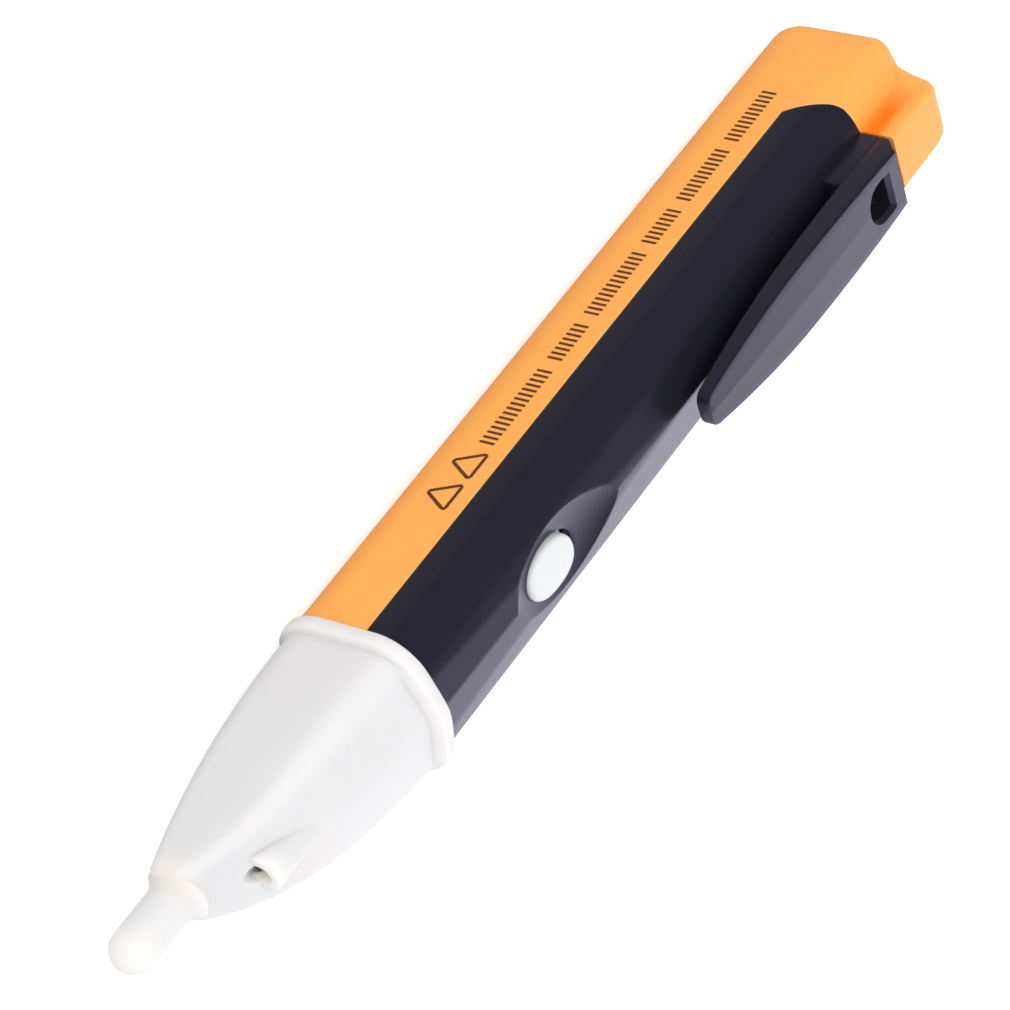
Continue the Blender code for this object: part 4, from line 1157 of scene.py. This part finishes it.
makeHousing()
print("front housing made")
makeClip()
makeSleeve()
print("clip and sleeve made")
makeButton()
makeNose()
print("button and nose made")
makePadPrint()
print("pad print made")
makeChipLegs()
makeEndCaps()
makeSolder()
makeLightPipe()
print("legs, end caps, solder and light pipe made")

for part in frame["record"]["subparts"]:
    node = frame["nodes"][part["node"]]
    node.data.materials.clear()
    node.data.materials.append(materials[part["material_slot"]])


studio = {
    "floorSize": 3.0, "floorBright": 0.85, "floorLift": 0.7,
    "floorInGloss": (0.28, 1.0),                     # before and behind the tester
    "room": 0.84, "roomColour": (0.98, 0.97, 1.0),   # what lights the matt surfaces
    "roomInGloss": 0.16, "panelInGloss": 2.3, "glossColour": (0.92, 0.89, 1.0),     # what the glossy ones reflect
    "keyPower": 6.2, "keySize": 0.7, "keyPlace": (0.35, -0.45, 1.0),
}


def makeFloor():
    half = studio["floorSize"] / 2
    bm = bmesh.new()
    bm.faces.new([bm.verts.new((x * half, y * half, 0)) for x, y in ((-1, -1), (1, -1), (1, 1), (-1, 1))])
    floor = newObject("floor", bm)
    material, tree, shader = newMaterial("paleFloor", {
        "Roughness": 0.9, "Specular IOR Level": 0.1, "Emission Color": (1, 1, 1, 1)})
    path = addNode(tree, "ShaderNodeLightPath").outputs
    inGloss = mapRange(tree, splitPlace(tree)["Y"], *studio["floorInGloss"], -0.015, 0.025)
    connect(tree, mapRange(tree, path["Is Glossy Ray"], studio["floorBright"], inGloss), shader["Base Color"])
    lift = calculate(tree, "MULTIPLY", path["Is Camera Ray"], studio["floorLift"])    # a clean white open floor
    connect(tree, lift, shader["Emission Strength"])
    floor.data.materials.append(material)


def makeWorld():
    # an even room, in which glossy surfaces see a broad pale panel low behind the tester
    world = bpy.data.worlds.new("studio")
    bpy.context.scene.world = world
    world.use_nodes = True
    tree = world.node_tree
    place = splitPlace(tree, "Generated")
    low = mapRange(tree, place["Z"], 0, 1, 0.85, 0.52)
    behind = mapRange(tree, place["Y"], 0, 1, 0.1, 0.5, "SMOOTHSTEP")
    inGloss = mapRange(tree, calculate(tree, "MULTIPLY", low, behind), studio["roomInGloss"], studio["panelInGloss"])
    glossy = addNode(tree, "ShaderNodeLightPath").outputs["Is Glossy Ray"]
    strength = addNode(tree, "ShaderNodeMix", {"Factor": glossy, "A": studio["room"], "B": inGloss})
    colour = mixColours(tree, glossy, (*studio["roomColour"], 1), (*studio["glossColour"], 1))
    background = tree.nodes["Background"].inputs
    connect(tree, colour, background["Color"])
    connect(tree, strength.outputs["Result"], background["Strength"])


def makeKeyLight():
    data = bpy.data.lights.new("key", "AREA")
    data.size = studio["keySize"]
    data.energy = studio["keyPower"]
    light = linkObject("key", data)
    light.location = studio["keyPlace"]
    light.rotation_euler = (Vector((0, 0, 0.01)) - light.location).to_track_quat("-Z", "Y").to_euler()
    light.visible_glossy = False                     # only the pale panel shows in the gloss


view = {
    "place": (0.260723, -0.313193, 0.273264),
    "aim": (-0.53782, 0.64606, -0.54162),
    "roll": (-0.66142, -0.72171, -0.20409),         # which way is up in the frame
    "lens": 149.27, "shiftX": -0.02336, "shiftY": -0.01163,
}


def makeCamera():
    data = bpy.data.cameras.new("camera")
    camera = linkObject("camera", data)
    forward = Vector(view["aim"]).normalized()
    right = forward.cross(Vector(view["roll"])).normalized()
    up = right.cross(forward)
    matrix = Matrix((right, up, -forward)).transposed().to_4x4()
    matrix.translation = view["place"]
    camera.matrix_world = matrix
    data.sensor_width = 36
    data.lens = view["lens"]
    data.shift_x = view["shiftX"]
    data.shift_y = view["shiftY"]
    data.clip_start = 0.01
    bpy.context.scene.camera = camera


makeFloor()
makeWorld()
makeKeyLight()
makeCamera()
bpy.context.scene.view_settings.view_transform = "Standard"
print("studio ready")
